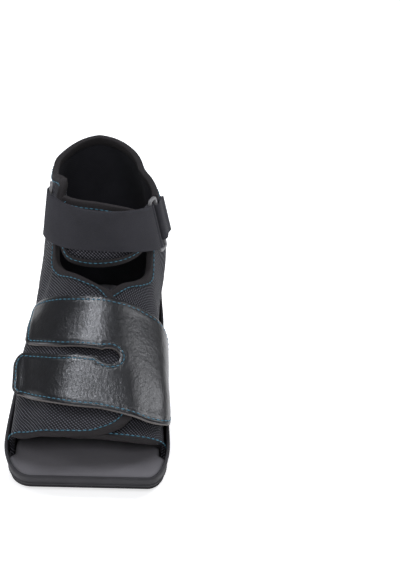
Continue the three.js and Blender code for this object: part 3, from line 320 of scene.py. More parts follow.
def upper(side, along, turn):
    """Inner face of the upper: side -1 lateral, 1 medial; turn 0 at that side's sole, 90 on the crown."""
    along, turn = np.broadcast_arrays(np.asarray(along, float), np.asarray(turn, float))
    own = np.where(turn <= 90, side, -side)

    def pick(lateral, medial):
        return np.where(own < 0, lateral, medial)

    def sided(name):
        return pick(arch("lateral" + name, along), arch("medial" + name, along))

    y = np.minimum(along, HEEL_CENTRE_Y)
    crown = arch("crown", along)
    width = pick(sole("lateral", y) + crown, sole("medial", y) - crown) - UPPER_INSET
    base = sole("floor", along) + SEAT
    rise = sided("") - base
    power = 2 / sided("_square")
    steep = np.where(turn <= 90, turn, 180 - turn)
    clear = np.maximum(0, sole("rim", along) + BULGE_ABOVE_RIM - base) / rise
    rim_turn = np.degrees(np.arcsin(np.minimum(1, clear ** (1 / power))))
    bulge = sided("_bulge")
    end = np.where(bulge < 0, PINCH_END_TURN, SWELL_END_TURN)
    lean = np.where(bulge < 0, PINCH_LEAN, mix(1, ANKLE_LEAN, smooth(*ANKLE_Y, along)))
    part = np.clip((steep - rim_turn) / (end - rim_turn), 0, 1) ** lean
    swell = bulge * np.sin(part * np.pi) ** 2
    reach = width * np.abs(np.cos(np.radians(turn))) ** power + swell
    z = base + rise * np.abs(np.sin(np.radians(turn))) ** power
    swing = np.radians(90) * np.maximum(0, along - HEEL_CENTRE_Y) / HEEL_ARC
    return columns(crown + own * reach * np.cos(swing), y + reach * np.sin(swing), z)


def upper_normal(side, along, turn):
    step = 0.2
    t = np.maximum(LEAST_TURN, turn)
    a = upper(side, along + step, t) - upper(side, along - step, t)
    b = upper(side, along, t + step) - upper(side, along, t - step)
    return unit(np.cross(a, b) * np.asarray(side, float)[..., None])


def leather_lift(turn, y):
    """Height of the strap over the upper: more on the lap, at the bow in its side and at its tips."""
    up = smooth(*LIFT_TURNS, turn) * (1 - smooth(*SETTLE_TURNS, turn))
    bow = smooth(*BOW_TURNS, turn) * (1 - smooth(*BOW_END_TURNS, turn))
    tip = np.maximum(0, (TIP_FROM_TURN - turn) / (TIP_FROM_TURN - TIP_FULL_TURN)) ** 2
    tip_raise = TIP_RAISE * mix(1, REAR_TIP_SHARE, smooth(*REAR_TIP_Y, y))
    return LEATHER_LIFT + LEATHER_RAISE * up + SIDE_RAISE * bow + tip_raise * tip


def leather(turn, y, lift=LEATHER_THICK):
    """Face of the strap. A soft ridge runs along its crown, and its front corner stands off."""
    p = upper(-1, y, turn)
    back = smooth(*RIDGE_Y, y)
    off = (p[..., 0] - mix(*RIDGE_X, back)) / mix(*RIDGE_WIDTH, back)
    ridge = mix(*RIDGE_HEIGHT, back) * np.exp(-off ** 2)
    flare = FRONT_FLARE * smooth(*FLARE_Y, y) * smooth(*FLARE_TURNS, turn)
    high = leather_lift(turn, y) + ridge + flare + lift
    return p + upper_normal(-1, y, turn) * np.asarray(high)[..., None]


class Ribs:
    """Curves up the upper from the sole to a free edge, measured by length from the sole."""

    def __init__(self, side, foot, edge, turn):
        self.side = np.broadcast_to(np.asarray(side, float), foot.shape)[:, None]
        self.foot, self.edge, self.turn = foot[:, None], edge[:, None], turn[:, None]
        self.shares = np.linspace(0, 1, RIB_MARKS)
        along, turns = self.place(self.shares)
        steps = norm(np.diff(upper(self.side, along, turns), axis=1))
        self.lengths = np.hstack([np.zeros((len(foot), 1)), np.cumsum(steps, axis=1)])
        self.total = self.lengths[:, -1:]

    def place(self, share):
        return mix(self.foot, self.edge, share), self.turn * share

    def at(self, length):
        made = np.empty(length.shape)
        for i, marks in enumerate(self.lengths):
            over = np.maximum(0, length[i] - marks[-1])
            made[i] = np.interp(length[i], marks, self.shares)
            made[i] += over * (self.shares[-1] - self.shares[-2]) / (marks[-1] - marks[-2])
        return self.place(made)

    def raised(self, length, lift, lap):
        along, turn = self.at(length)
        high = lift + (LAP_LIFT * smooth(*LAP_TURNS, turn) if lap else 0)
        normal = upper_normal(self.side, along, turn)
        return upper(self.side, along, turn) + normal * np.broadcast_to(high, turn.shape)[..., None]


def heel_ribs(count):
    back = HEEL_CENTRE_Y + HEEL_ARC
    reach = back - SEAM_Y - SEAM_GAP
    way = np.linspace(-reach, reach, count)
    y = back - np.abs(way)
    return Ribs(np.where(way <= 0, -1, 1), y, y, read(HEEL_EDGE, "way", "turn", way))


# Mesh building

def grid_faces(n, m, close_rows=False, close_columns=False):
    i, j = np.meshgrid(np.arange(n - 1 + close_rows), np.arange(m - 1 + close_columns), indexing="ij")
    i2, j2 = (i + 1) % n, (j + 1) % m
    return columns(i * m + j, i2 * m + j, i2 * m + j2, i * m + j2).reshape(-1, 4)


def shell(outer, inner):
    """Points, faces and face kinds (0 outer, 1 inner, 2 rim) of a thin solid between two grids."""
    n, m = outer.shape[:2]
    low = n * m
    index = np.arange(low).reshape(n, m)
    border = np.hstack([index[0], index[1:, -1], index[-1, -2::-1], index[-2:0:-1, 0]])
    after = np.roll(border, -1)
    rim = columns(border, after, after + low, border + low)
    face = grid_faces(n, m)
    kinds = np.repeat([0, 1, 2], [len(face), len(face), len(rim)])
    return np.vstack([outer, inner]).reshape(-1, 3), np.vstack([face, face + low, rim]), kinds


def joined(parts):
    """Points, faces and face kinds of several meshes as those of one."""
    points, faces, kinds = zip(*parts)
    first = np.cumsum([0] + [len(p) for p in points])
    faces = np.vstack([f + start for f, start in zip(faces, first)])
    return np.vstack(points), faces, np.hstack(kinds)


def linked(name, data):
    made = bpy.data.objects.new(name, data)
    SCENE.collection.objects.link(made)
    return made


def piece(name, node, points, faces, materials, sharp=None, kinds=None, uv=None, caps=()):
    """One named object of the shoe, smooth but for edges over an angle in degrees."""
    mesh = bpy.data.meshes.new(name)
    mesh.from_pydata((points * MM).tolist(), [], faces.tolist() + list(caps))
    for material in materials:
        mesh.materials.append(material)
    if kinds is not None:
        mesh.polygons.foreach_set("material_index", kinds.astype(np.int32))
    if uv is not None:
        layer = mesh.uv_layers.new(name="cloth")
        loops = np.zeros(len(mesh.loops), np.int32)
        mesh.loops.foreach_get("vertex_index", loops)
        layer.data.foreach_set("uv", (uv[loops] * MM).astype(np.float32).ravel())
    edit = bmesh.new()
    edit.from_mesh(mesh)
    bmesh.ops.remove_doubles(edit, verts=edit.verts, dist=1e-7)
    bmesh.ops.recalc_face_normals(edit, faces=edit.faces)
    edit.to_mesh(mesh)
    edit.free()
    mesh.shade_smooth()
    if sharp:
        mesh.set_sharp_from_angle(angle=math.radians(sharp))
    made = linked(name, mesh)
    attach(made, "root")
    if node:
        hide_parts(node)
    return made


def path_length(points):
    return np.hstack([0, np.cumsum(norm(np.diff(points, axis=0)))])


def resampled(at, marks, values):
    return np.stack([np.interp(at, marks, column) for column in values.T], -1)


def closed(loop):
    return np.vstack([loop, loop[:1]])


def loop_tangent(loop):
    return unit(np.roll(loop, -1, axis=0) - np.roll(loop, 1, axis=0))


def even_path(points, normals, step):
    """The same path at even steps, with its normals and tangents."""
    marks = path_length(points)
    count = max(2, int(round(marks[-1] / step)) + 1)
    at = np.linspace(0, marks[-1], count)
    place = resampled(at, marks, points)
    return place, unit(resampled(at, marks, normals)), unit(np.gradient(place, axis=0))


def tube(place, facing, tangent, radius, sides):
    angle = np.linspace(0, 2 * np.pi, sides, endpoint=False)
    across = np.cross(facing, tangent)
    ring = across[:, None] * np.cos(angle)[:, None] + facing[:, None] * np.sin(angle)[:, None]
    return place[:, None] + ring * np.broadcast_to(radius, (len(place),))[:, None, None]


def stitching(name, paths):
    """Sewn stitches along paths of points with normals: pale dashes over a thread line darkened with
    painted shade.
    """
    parts = []

    def put(rings, kind):
        faces = grid_faces(*rings.shape[:2], close_columns=True)
        parts.append((rings.reshape(-1, 3), faces, np.full(len(faces), kind)))

    along = np.linspace(-1, 1, 9)
    for path, normals in paths:
        # A thinner, darker copy of the thread runs the whole path: painted shade where the thread sinks
        # between the dashes.
        put(tube(*even_path(path, normals, LINE_STEP), LINE_RADIUS, 6), 1)
        for p, n, t in zip(*even_path(path, normals, STITCH_PITCH)):
            rise = np.outer(STITCH_RISE - STITCH_DIVE * along ** 4, n)
            line = p + np.outer(along, t) * STITCH_LENGTH / 2 + rise
            thick = THREAD_RADIUS * np.sqrt(np.maximum(0.02, 1 - along ** 6))
            same = np.ones((len(along), 1))
            put(tube(line, same * n, same * t, thick, 8), 0)
    points, faces, kinds = joined(parts)
    piece(name, None, points, faces, [THREAD, THREAD_PAINTED_SHADE], kinds=kinds)


# Materials

class Shader:
    """A material's node tree, built up from small named steps."""

    def __init__(self, name, roughness, specular=0.5):
        self.material = bpy.data.materials.new(name)
        self.material.use_nodes = True
        self.tree = self.material.node_tree
        self.surface = self.tree.nodes["Principled BSDF"]
        self.put(self.surface.inputs["Roughness"], roughness)
        self.put(self.surface.inputs["Specular IOR Level"], specular)
        self.here = self.node("TexCoord").outputs["Object"]

    def node(self, kind, **values):
        made = self.tree.nodes.new("ShaderNode" + kind)
        for name, value in values.items():
            self.put(made.inputs[name], value)
        return made

    def put(self, socket, value):
        if isinstance(value, bpy.types.NodeSocket):
            self.tree.links.new(value, socket)
        else:
            socket.default_value = value

    def cloth(self):
        made = self.node("UVMap")
        made.uv_map = "cloth"
        return made.outputs["UV"]

    def operation(self, node, kind, *values):
        made = self.node(node)
        made.operation = kind
        for socket, value in zip(made.inputs, values):
            self.put(socket, value)
        return made.outputs

    def math(self, kind, *values):
        return self.operation("Math", kind, *values)[0]

    def blend(self, a, a_share, b, b_share):
        return self.math("MULTIPLY_ADD", a, a_share, self.math("MULTIPLY", b, b_share))

    def noise(self, per_metre, detail=3.0, roughness=0.55, where=None):
        where = self.here if where is None else where
        made = self.node("TexNoise", Vector=where, Scale=per_metre, Detail=detail, Roughness=roughness)
        return made.outputs["Fac"]

    def cells(self, per_metre, feature="F1"):
        made = self.node("TexVoronoi", Vector=self.here, Scale=per_metre)
        made.feature = feature
        return made.outputs["Distance"]

    def wave(self, where, direction, pitch):
        """Ribs square to a direction: a value from 0 to 1, one rib for each pitch."""
        dot = self.operation("VectorMath", "DOT_PRODUCT", where, direction)["Value"]
        turns = self.math("MULTIPLY", dot, 2 * math.pi / pitch)
        return self.math("MULTIPLY_ADD", self.math("SINE", turns), 0.5, 0.5)

    def scale(self, value, low, high):
        return self.node("MapRange", Value=value, **{"To Min": low, "To Max": high}).outputs["Result"]

    def ramp(self, value, *colours):
        """Colours at even steps along a value from 0 to 1."""
        made = self.node("ValToRGB", Fac=value)
        stops = made.color_ramp.elements
        while len(stops) < len(colours):
            stops.new(0.5)
        for k, colour in enumerate(colours):
            stops[k].position = k / (len(colours) - 1)
            stops[k].color = (*colour, 1)
        return made.outputs["Color"]

    def bump(self, height, depth_mm, below=None):
        base = {} if below is None else {"Normal": below}
        return self.node("Bump", Height=height, Distance=depth_mm * MM, **base).outputs["Normal"]

    def finish(self, colour, normal, **values):
        for name, value in {"Base Color": colour, "Normal": normal, **values}.items():
            self.put(self.surface.inputs[name.replace("_", " ")], value)
        return self.material


def rubber():
    s = Shader("sole_rubber", 0.72, 0.3)
    fine = s.noise(1800)
    normal = s.bump(fine, 0.06, s.bump(s.noise(260, 4), 0.08))
    colour = s.ramp(s.noise(55, 4), (0.02, 0.0192, 0.0215), (0.037, 0.0355, 0.0395))
    return s.finish(colour, normal, Roughness=s.scale(fine, 0.6, 0.82))


def foam():
    s = Shader("bed_foam", 0.85, 0.2)
    pores = s.cells(1300)
    normal = s.bump(s.noise(900), 0.09, s.bump(pores, 0.06))
    colour = s.ramp(s.noise(38, 5, 0.6), (0.11, 0.106, 0.113), (0.165, 0.159, 0.17))
    return s.finish(colour, normal, Roughness=s.scale(pores, 0.78, 0.95))


MESH_TONES = (0.002, 0.002, 0.0026), (0.018, 0.018, 0.0215), (0.152, 0.152, 0.173)


def ribbed_mesh(name, direction, across, painted_light=1.0):
    s = Shader(name, 0.8, 0.12)
    bend = s.noise(90, 2)
    bends = s.node("CombineXYZ", X=bend, Y=bend, Z=bend).outputs[0]
    shifted = s.operation("VectorMath", "MULTIPLY_ADD", bends, [RIB_BEND * MM] * 3, s.here)[0]
    ribs = s.wave(shifted, direction, RIB_PITCH * MM)
    cross = s.wave(shifted, across, RIB_PITCH * CROSS_PITCH * MM)
    weave = s.math("MULTIPLY", s.math("POWER", ribs, 0.7), s.scale(cross, 0.5, 1.0))
    fibre = s.noise(2600, 2)
    normal = s.bump(fibre, 0.05, s.bump(weave, 0.5))
    # painted_light scales every mesh colour; above 1 it paints light into the cloth, lighter than the
    # cloth's own colour.
    tones = [[painted_light * part for part in tone] for tone in MESH_TONES]
    colour = s.ramp(s.blend(fibre, 0.25, weave, 0.8), *tones)
    return s.finish(colour, normal, Roughness=s.scale(fibre, 0.62, 0.9), Sheen_Weight=0.02)


def smooth_fabric():
    s = Shader("heel_fabric", 0.85, 0.12)
    rows, wales = (s.wave(s.here, way, 0.7 * MM) for way in ((0.7, 0.3, 0.65), (-0.5, 0.6, 0.62)))
    knit = s.math("MULTIPLY", rows, wales)
    broad = s.noise(60)
    normal = s.bump(knit, 0.12, s.bump(s.noise(1700, 2), 0.05))
    colour = s.ramp(s.blend(knit, 0.35, broad, 0.65), (0.011, 0.011, 0.0135), (0.034, 0.034, 0.04))
    return s.finish(colour, normal, Sheen_Weight=0.03)


def knit_tape():
    s = Shader("knit_tape", 0.88, 0.1)
    uv = s.cloth()
    rows = s.wave(uv, (1, 0.35, 0), 0.62 * MM)
    wales = s.wave(uv, (-0.3, 1, 0), 0.8 * MM)
    knit = s.math("MULTIPLY", rows, wales)
    fibre = s.noise(2400, 2)
    normal = s.bump(fibre, 0.05, s.bump(knit, 0.14))
    colour = s.ramp(s.blend(fibre, 0.5, knit, 0.5), (0.014, 0.0128, 0.0135), (0.05, 0.0455, 0.047))
    return s.finish(colour, normal, Sheen_Weight=0.02)


def leather_top():
    s = Shader("strap_leather", 0.38)
    lengthwise = s.operation("VectorMath", "MULTIPLY", s.here, (1.0, 0.6, 0.7))[0]
    pebble = s.cells(1700, "SMOOTH_F1")
    grain = s.math("MULTIPLY_ADD", s.cells(3600), 0.35, pebble)
    creases = s.math("POWER", s.noise(560, 4, 0.6, lengthwise), 1.6)
    normal = s.bump(grain, 0.036, s.bump(creases, 0.2, s.bump(s.noise(60), 0.3)))
    colour = s.ramp(s.noise(70, 4), (0.004, 0.0041, 0.005), (0.0095, 0.0098, 0.012))
    return s.finish(colour, normal, Roughness=s.scale(s.noise(240, 4), 0.25, 0.36))


def leather_edge():
    s = Shader("strap_raw_edge", 0.8, 0.2)
    fibre = s.noise(1500, 4)
    colour = s.ramp(fibre, (0.1, 0.091, 0.088), (0.22, 0.203, 0.198))
    return s.finish(colour, s.bump(fibre, 0.15))


def loop_webbing():
    s = Shader("webbing", 0.9, 0.1)
    uv = s.cloth()
    twill = s.wave(uv, (1, 1, 0), 0.75 * MM)
    ends = s.wave(uv, (0, 1, 0), 0.55 * MM)
    weave = s.blend(ends, 0.5, twill, 0.5)
    fluff = s.noise(1500, 4)
    broad = s.noise(45)
    normal = s.bump(fluff, 0.14, s.bump(weave, 0.1))
    shade = s.math("MULTIPLY_ADD", broad, 0.45, s.blend(fluff, 0.35, weave, 0.2))
    return s.finish(s.ramp(shade, (0.018, 0.018, 0.0208), (0.052, 0.051, 0.059)), normal, Sheen_Weight=0.04)


def plastic():
    s = Shader("ring_plastic", 0.42)
    fine = s.noise(1500, 2)
    colour = s.ramp(s.noise(180), (0.11, 0.108, 0.11), (0.19, 0.187, 0.19))
    return s.finish(colour, s.bump(fine, 0.03), Roughness=s.scale(fine, 0.34, 0.5))


def thread(name, low, high):
    s = Shader(name, 0.6, 0.2)
    twist = s.wave(s.here, (0.6, 0.6, 0.53), 0.45 * MM)
    shade = s.blend(twist, 0.4, s.noise(420, 2), 0.6)
    return s.finish(s.ramp(shade, low, high), s.bump(twist, 0.08))


RUBBER, FOAM, HEEL_FABRIC, TAPE = rubber(), foam(), smooth_fabric(), knit_tape()
LATERAL_MESH = ribbed_mesh("spacer_mesh_lateral", (0.68, 0.31, 0.68), (0.31, -0.68, 0.27))
MEDIAL_MESH = ribbed_mesh("spacer_mesh_medial", (0.5, 0.7, -0.5), (0.7, -0.5, -0.2))
# The pad's cloth is the mesh fabric made 1.3 times lighter: painted light against the shade the pad lies
# in.
PAD_FABRIC_PAINTED_LIGHT = ribbed_mesh("pad_fabric_painted_light", (0.68, 0.2, 0.7), (0.5, 0.2, -0.5), 1.3)
LEATHER, LEATHER_EDGE, WEBBING, PLASTIC = leather_top(), leather_edge(), loop_webbing(), plastic()
THREAD = thread("stitch_blue", (0.03, 0.1, 0.15), (0.1, 0.25, 0.34))
# A darker copy of the blue thread: painted shade for the line between the dashes.
THREAD_PAINTED_SHADE = thread("stitch_painted_shade", (0.01, 0.035, 0.05), (0.025, 0.075, 0.1))


# Sole and bed

def sole_rungs(inset):
    """Left and right points of the outline moved in by inset(y), toe to heel, and their table places."""
    front = inset(np.array(TOE_Y))
    angle = np.radians(np.linspace(0, 90, CORNER_RUNGS))
    y = TOE_Y + front + (CORNER_LENGTH - front) * (1 - np.cos(angle))
    sides = np.linspace(y[-1], HEEL_CENTRE_Y, SIDE_RUNGS)[1:]
    y = np.hstack([y, sides])
    pinch = np.hstack([1 - np.sin(angle), 0 * sides])
    lateral = sole("lateral", y) - inset(y) - max(0, CORNER_LATERAL - front) * pinch
    medial = sole("medial", y) - inset(y) - max(0, CORNER_MEDIAL - front) * pinch
    wide = [sole(name, HEEL_CENTRE_Y) for name in ("lateral", "medial")]
    centre, radius = (wide[1] - wide[0]) / 2, sum(wide) / 2 - inset(np.array(HEEL_CENTRE_Y))
    angle = np.radians(90) * np.arange(1, HEEL_RUNGS + 1) / (HEEL_RUNGS + HEEL_OPEN)
    y = np.hstack([y, HEEL_CENTRE_Y + radius * np.sin(angle)])
    lateral = np.hstack([lateral, radius * np.cos(angle) - centre])
    medial = np.hstack([medial, radius * np.cos(angle) + centre])
    skew = TOE_SKEW * (1 - smooth(TOE_Y, TOE_SKEW_END_Y, y))
    return columns(-lateral, y + skew * lateral), columns(medial, y - skew * medial), y


def stacked(levels):
    """Loops of the sole outline at several levels: rings of points, and the strips across both ends."""
    rings = []
    for inset, height in levels:
        left, right, y = sole_rungs(inset)
        z = height(y)[:, None]
        rings.append(np.vstack([np.hstack([left, z]), np.hstack([right, z])[::-1]]))
    rings = np.stack(rings)
    high, count = rings.shape[:2]
    strip = np.array([(i, i + 1, count - 2 - i, count - 1 - i) for i in range(count // 2 - 1)])
    wall = grid_faces(high, count, close_columns=True)
    return rings.reshape(-1, 3), np.vstack([wall, strip, strip + (high - 1) * count])


def above(column, mm):
    return lambda y: column(y) + mm


def even(mm):
    return lambda y: np.full(np.shape(y), float(mm))


def make_sole():
    under = lambda y: np.maximum(0, sole("under", y))
    rim, floor = partial(sole, "rim"), partial(sole, "floor")
    wall = lambda share: lambda y: mix(under(y), floor(y) + WALL_OVER_FLOOR, share)
    levels = [(even(SOLE_DRAFT + inset), above(under, up)) for inset, up in UNDER_ROUND]
    for share in GROOVES:
        draft = SOLE_DRAFT * (1 - share)
        levels += [(even(depth + draft), above(wall(share), up)) for depth, up in GROOVE]
    levels += [(even(inset), above(rim, up)) for inset, up in RIM_ROUND]
    points, faces = stacked([*levels, (even(RIM_WALL), floor)])
    piece("sole", "outsole", points, faces, [RUBBER], sharp=60)


def bed_inset(y):
    return mix(RIM_WALL + SEAT, UPPER_INSET + BED_GAP, smooth(*BED_NARROWS, y))


def make_bed():
    bed = partial(sole, "bed")
    dish = lambda share: lambda y: bed(y) - DISH_DEPTH * share * smooth(*DISH_Y, y)
    levels = [(bed_inset, above(partial(sole, "floor"), SEAT))]
    levels += [(above(bed_inset, inset), above(bed, up)) for inset, up in BED_ROUND]
    levels += [(even(UPPER_INSET + BED_GAP + inset), dish(share)) for inset, share in DISH]
    points, faces = stacked(levels)
    piece("bed", "footbed", points, faces, [FOAM], sharp=60)


# Upper

def make_panel(name, node, ribs, lap, rows, material):
    share = np.linspace(0, 1, rows)
    length = ribs.total * share
    nap = NAP_HEIGHT * np.sin(ribs.foot * NAP_ALONG + length * NAP_UP) * np.sin(length * NAP_SLOW)
    nap = nap * np.sin(np.pi * share) ** 2
    outer = ribs.raised(length, MESH_THICK + nap, lap)
    points, faces, _ = shell(outer, ribs.raised(length, 0, lap))
    made = piece(name, node, points, faces, [material], sharp=50)
    cells = np.cross(np.diff(outer, axis=0)[:, :-1], np.diff(outer, axis=1)[:-1])
    wide = float(path_length(outer[:, 0])[-1]) * MM


def tape_section():
    """Length past the free edge, and lift: along the outside, round the nose and back inside."""
    high, low = TAPE_TOP, -TAPE_GAP - TAPE_WALL
    w, t = TAPE_WIDTH, MESH_THICK
    middle, half = t / 2, t / 2 + TAPE_GAP + TAPE_WALL
    reach = (-w, -w + 0.1, -w + 0.4, -w * 0.5, -1.0)
    outer = list(zip(reach, (t + 0.12, high - 0.25, high - 0.03, high + 0.06, high)))
    outer += [(NOSE_REACH * math.cos(a) - 0.05, middle + half * 0.98 * math.sin(a)) for a in NOSE]
    outer += list(zip(reach[::-1], (low, low - 0.04, low + 0.03, low + 0.25, -0.12)))
    inner = [(-w * 0.5, -0.1), (0.1, -0.1), (0.28, 0.3)]
    return np.array(outer + inner + [(past, t - lift) for past, lift in inner[::-1]])


def tape_piece(name, node, rings, section, run, round_again):
    """A tape from rings of its section, with two ends or going round to its start."""
    n, m = rings.shape[:2]
    uv = columns(np.repeat(run, m), np.tile(path_length(section), n))
    ends = [] if round_again else [list(range(m)), list(range((n - 1) * m, n * m))]
    faces = grid_faces(n, m, close_rows=round_again, close_columns=True)
    piece(name, node, rings.reshape(-1, 3), faces, [TAPE], sharp=55, uv=uv, caps=ends)


def tape_start(ribs):
    return np.maximum(ribs.total * TAPE_LEAST, ribs.total - TAPE_WIDTH)


def make_tape(name, node, ribs, lap):
    section = tape_section()
    past, lift = section.T
    reach = (ribs.total - tape_start(ribs)) / TAPE_WIDTH
    rings = ribs.raised(ribs.total + np.where(past < 0, past * reach, past), lift, lap)
    tape_piece(name, node, rings, section, path_length(rings[:, 4]), False)


def edge_stitch(ribs, lap, first):
    """Path of the stitching near the inner side of an edge tape, and its normals."""
    length = tape_start(ribs) + EDGE_STITCH
    lift = TAPE_TOP + 0.03
    path = ribs.raised(length, lift, lap)[:, 0]
    over = ribs.raised(length, lift + 1, lap)[:, 0]
    return path[first:], unit(over - path)[first:]


# Leather strap

def strap_grids():
    """Rows of (turn, y) for both halves of the forked strap, and the last row before the fork."""
    across = 0.5 - 0.5 * np.cos(np.linspace(0, np.pi, STRAP_ACROSS))
    body = mix(STRAP["turn"][0], KEYHOLE_TURN, np.linspace(0, 1, BODY_ROWS) ** BODY_EASE)
    anchor = np.clip(1 - (body[0] - body) / ANCHOR_TURNS, 0, 1)
    draw = STRAP_CORNER * (1 - np.sqrt(1 - anchor ** 2))
    hole_end = KEYHOLE_TURN - KEYHOLE_TURNS
    around = np.linspace(0, 1, KEYHOLE_ROWS)[1:]
    hole_turn = mix(KEYHOLE_TURN, hole_end, 0.5 - 0.5 * np.cos(np.pi * around))
    round_ = 2 * (KEYHOLE_TURN - hole_turn) / KEYHOLE_TURNS - 1
    hole = KEYHOLE_RADIUS * np.sqrt(np.maximum(0, 1 - round_ ** 2))
    share = np.linspace(0, 1, FINGER_ROWS)[1:]
    share = mix(share, share * (2 - share), FINGER_EASE)

    def rows(*edges):
        a_turn, a_y, b_turn, b_y = (np.hstack(edge)[:, None] for edge in edges)
        return columns(mix(a_turn, b_turn, across), mix(a_y, b_y, across))

    def corner(turn, end):
        near = np.clip(1 - (turn - end[0]) / end[1], 0, 1)
        return end[2] * (1 - np.sqrt(1 - near ** 2))

    made = []
    for name, sign, (outer, slot) in (("rear", 1, REAR_FINGER), ("front", -1, FRONT_FINGER)):
        edge, cut = partial(read, STRAP, "turn", name), partial(read, SLOT, "turn", name)
        rim = KEYHOLE_Y + sign * hole
        beyond = sign * np.maximum(sign * rim, sign * cut(hole_turn))
        inner_turn, outer_turn = mix(hole_end, slot[0], share), mix(hole_end, outer[0], share)
        inner_y = (np.full(len(body), KEYHOLE_Y), np.where(around <= 0.5, rim, beyond),
                   cut(inner_turn) + sign * corner(inner_turn, slot))
        outer_y = (edge(body) - sign * draw, edge(hole_turn),
                   edge(outer_turn) - sign * corner(outer_turn, outer))
        made.append(rows((body, hole_turn, outer_turn), outer_y, (body, hole_turn, inner_turn), inner_y))
    return made[0], made[1][:, ::-1], len(body) - 1


def strap_border(rear, front, split):
    """The strap's whole edge as one closed loop of (turn, y)."""
    return np.vstack([rear[:, 0], rear[-1, 1:], rear[-2:split:-1, -1], front[split:, 0], front[-1, 1:],
                      front[-2::-1, -1], front[0, -2::-1], rear[0, -2:0:-1]])


def leather_inward(border):
    """Directions from the edge loop into the leather."""
    tangent = loop_tangent(leather(*border.T))
    return unit(np.cross(upper_normal(-1, border[:, 1], border[:, 0]), tangent))


def stitch_inset(inward):
    """Distance of the stitching from the edge, more at the rear edges than at the front ones."""
    return STITCH_INSET - STITCH_LEAN * inward[:, 1]


def leather_edge_path(border):
    """The edge loop moved inwards over the leather, in (turn, y)."""
    step = 0.05
    turn, y = border.T
    p = leather(turn, y)
    jacobian = columns(leather(turn + step, y) - p, leather(turn, y + step) - p) / step
    inward = leather_inward(border)
    move = np.einsum("nij,nj->ni", np.linalg.pinv(jacobian), inward * stitch_inset(inward)[:, None])
    return border + move


def smoothed_loop(points, passes):
    for _ in range(passes):
        points = (np.roll(points, 1, axis=0) + 2 * points + np.roll(points, -1, axis=0)) / 4
    return points


def even_loop(border):
    """The edge loop at even steps over the leather."""
    marks = path_length(closed(leather(*border.T)))
    at = np.linspace(0, marks[-1], int(marks[-1] / BORDER_STEP), endpoint=False)
    return resampled(at, marks, closed(border))


def make_strap():
    rear, front, split = strap_grids()
    border = even_loop(strap_border(rear, front, split))
    line = leather(*border.T)
    inset = stitch_inset(leather_inward(border))

    def face(cells, top):
        turn, y = cells[..., 0], cells[..., 1]
        if not top:
            return leather(turn, y, 0.0)
        flat = leather(turn, y).reshape(-1, 3)
        parts = np.array_split(flat, 12)
        near = np.hstack([np.argmin(norm(part[:, None] - line), axis=1) for part in parts])
        gap = norm(flat - line[near]).reshape(turn.shape)
        seam = gap - inset[near].reshape(turn.shape)
        lift = LEATHER_THICK - EDGE_DROP * (1 - smooth(0, EDGE_ROUND, gap))
        lift = lift - SEAM_DEPTH * np.exp(-(seam / SEAM_WIDTH) ** 2)
        return leather(turn, y, lift + PILLOW_HEIGHT * np.exp(-((gap - PILLOW_INSET) / PILLOW_WIDTH) ** 2))

    parts = []
    for cells, joined_last in ((rear, True), (front, False)):
        p, f, k = shell(face(cells, True), face(cells, False))
        n, m = cells.shape[:2]
        column = np.arange(split + 1) * m + (m - 1 if joined_last else 0)
        inside = np.isin(f, np.hstack([column, column + n * m])).all(axis=1) & (k == 2)
        parts.append((p, f[~inside], np.where(k == 2, 1, 0)[~inside]))
    points, faces, kinds = joined(parts)
    piece("leather_strap", "vamp_strap", points, faces, [LEATHER, LEATHER_EDGE],
          sharp=48, kinds=kinds)
    sewn = smoothed_loop(leather_edge_path(smoothed_loop(border, 4)), 6)
    path = leather(*sewn.T, LEATHER_THICK - STITCH_SINK)
    normals = upper_normal(-1, sewn[:, 1], sewn[:, 0])
    stitching("strap_stitching", [(closed(path), closed(normals))])


# Ankle band, pad, rings and tabs

BAR_HALF = RING_BAR / 2 + RING_CLEARANCE


def quarter(side, y, z, lift):
    name = "lateral" if side < 0 else "medial"
    base = sole("floor", y) + SEAT
    share = np.minimum(SEAT_TOP_SHARE, (z - base) / (arch(name, y) - base))
    turn = np.degrees(np.arcsin(share ** (arch(name + "_square", y) / 2)))
    return upper(side, y, turn) + upper_normal(side, y, turn) * lift


def ring_frame(side):
    y, z = RING_SEATS[side]
    outer = lambda along, height: quarter(side, np.asarray(along), np.asarray(height), TAPE_TOP)
    end = y + TAB_LENGTH
    middle = y + TAB_LENGTH / 2
    up = unit(outer(middle, z + TAB_HALF) - outer(middle, z - TAB_HALF))
    rear = outer(y, z)
    run = unit(outer(end, z) - rear)
    out = unit(np.cross(run, up) * side)
    along = unit(np.cross(up, out) * side)
    half = TAB_HALF + SEAT_MARGIN
    seat_y = np.linspace(y - RING_REACH - SEAT_MARGIN, end, 9)
    seat = outer(*np.meshgrid(seat_y, np.linspace(z - half, z + half, 9)))
    high = (seat @ out).max() + SEAT + BAND_THICK + BAR_HALF
    rear = rear + out * (high - rear @ out)
    return {"rear": rear, "front": rear - along * RING_REACH, "up": up, "along": along, "out": out}


RINGS = {side: ring_frame(side) for side in (-1, 1)}


def flattened(v):
    return unit(v * np.array([1, 1, 0]))


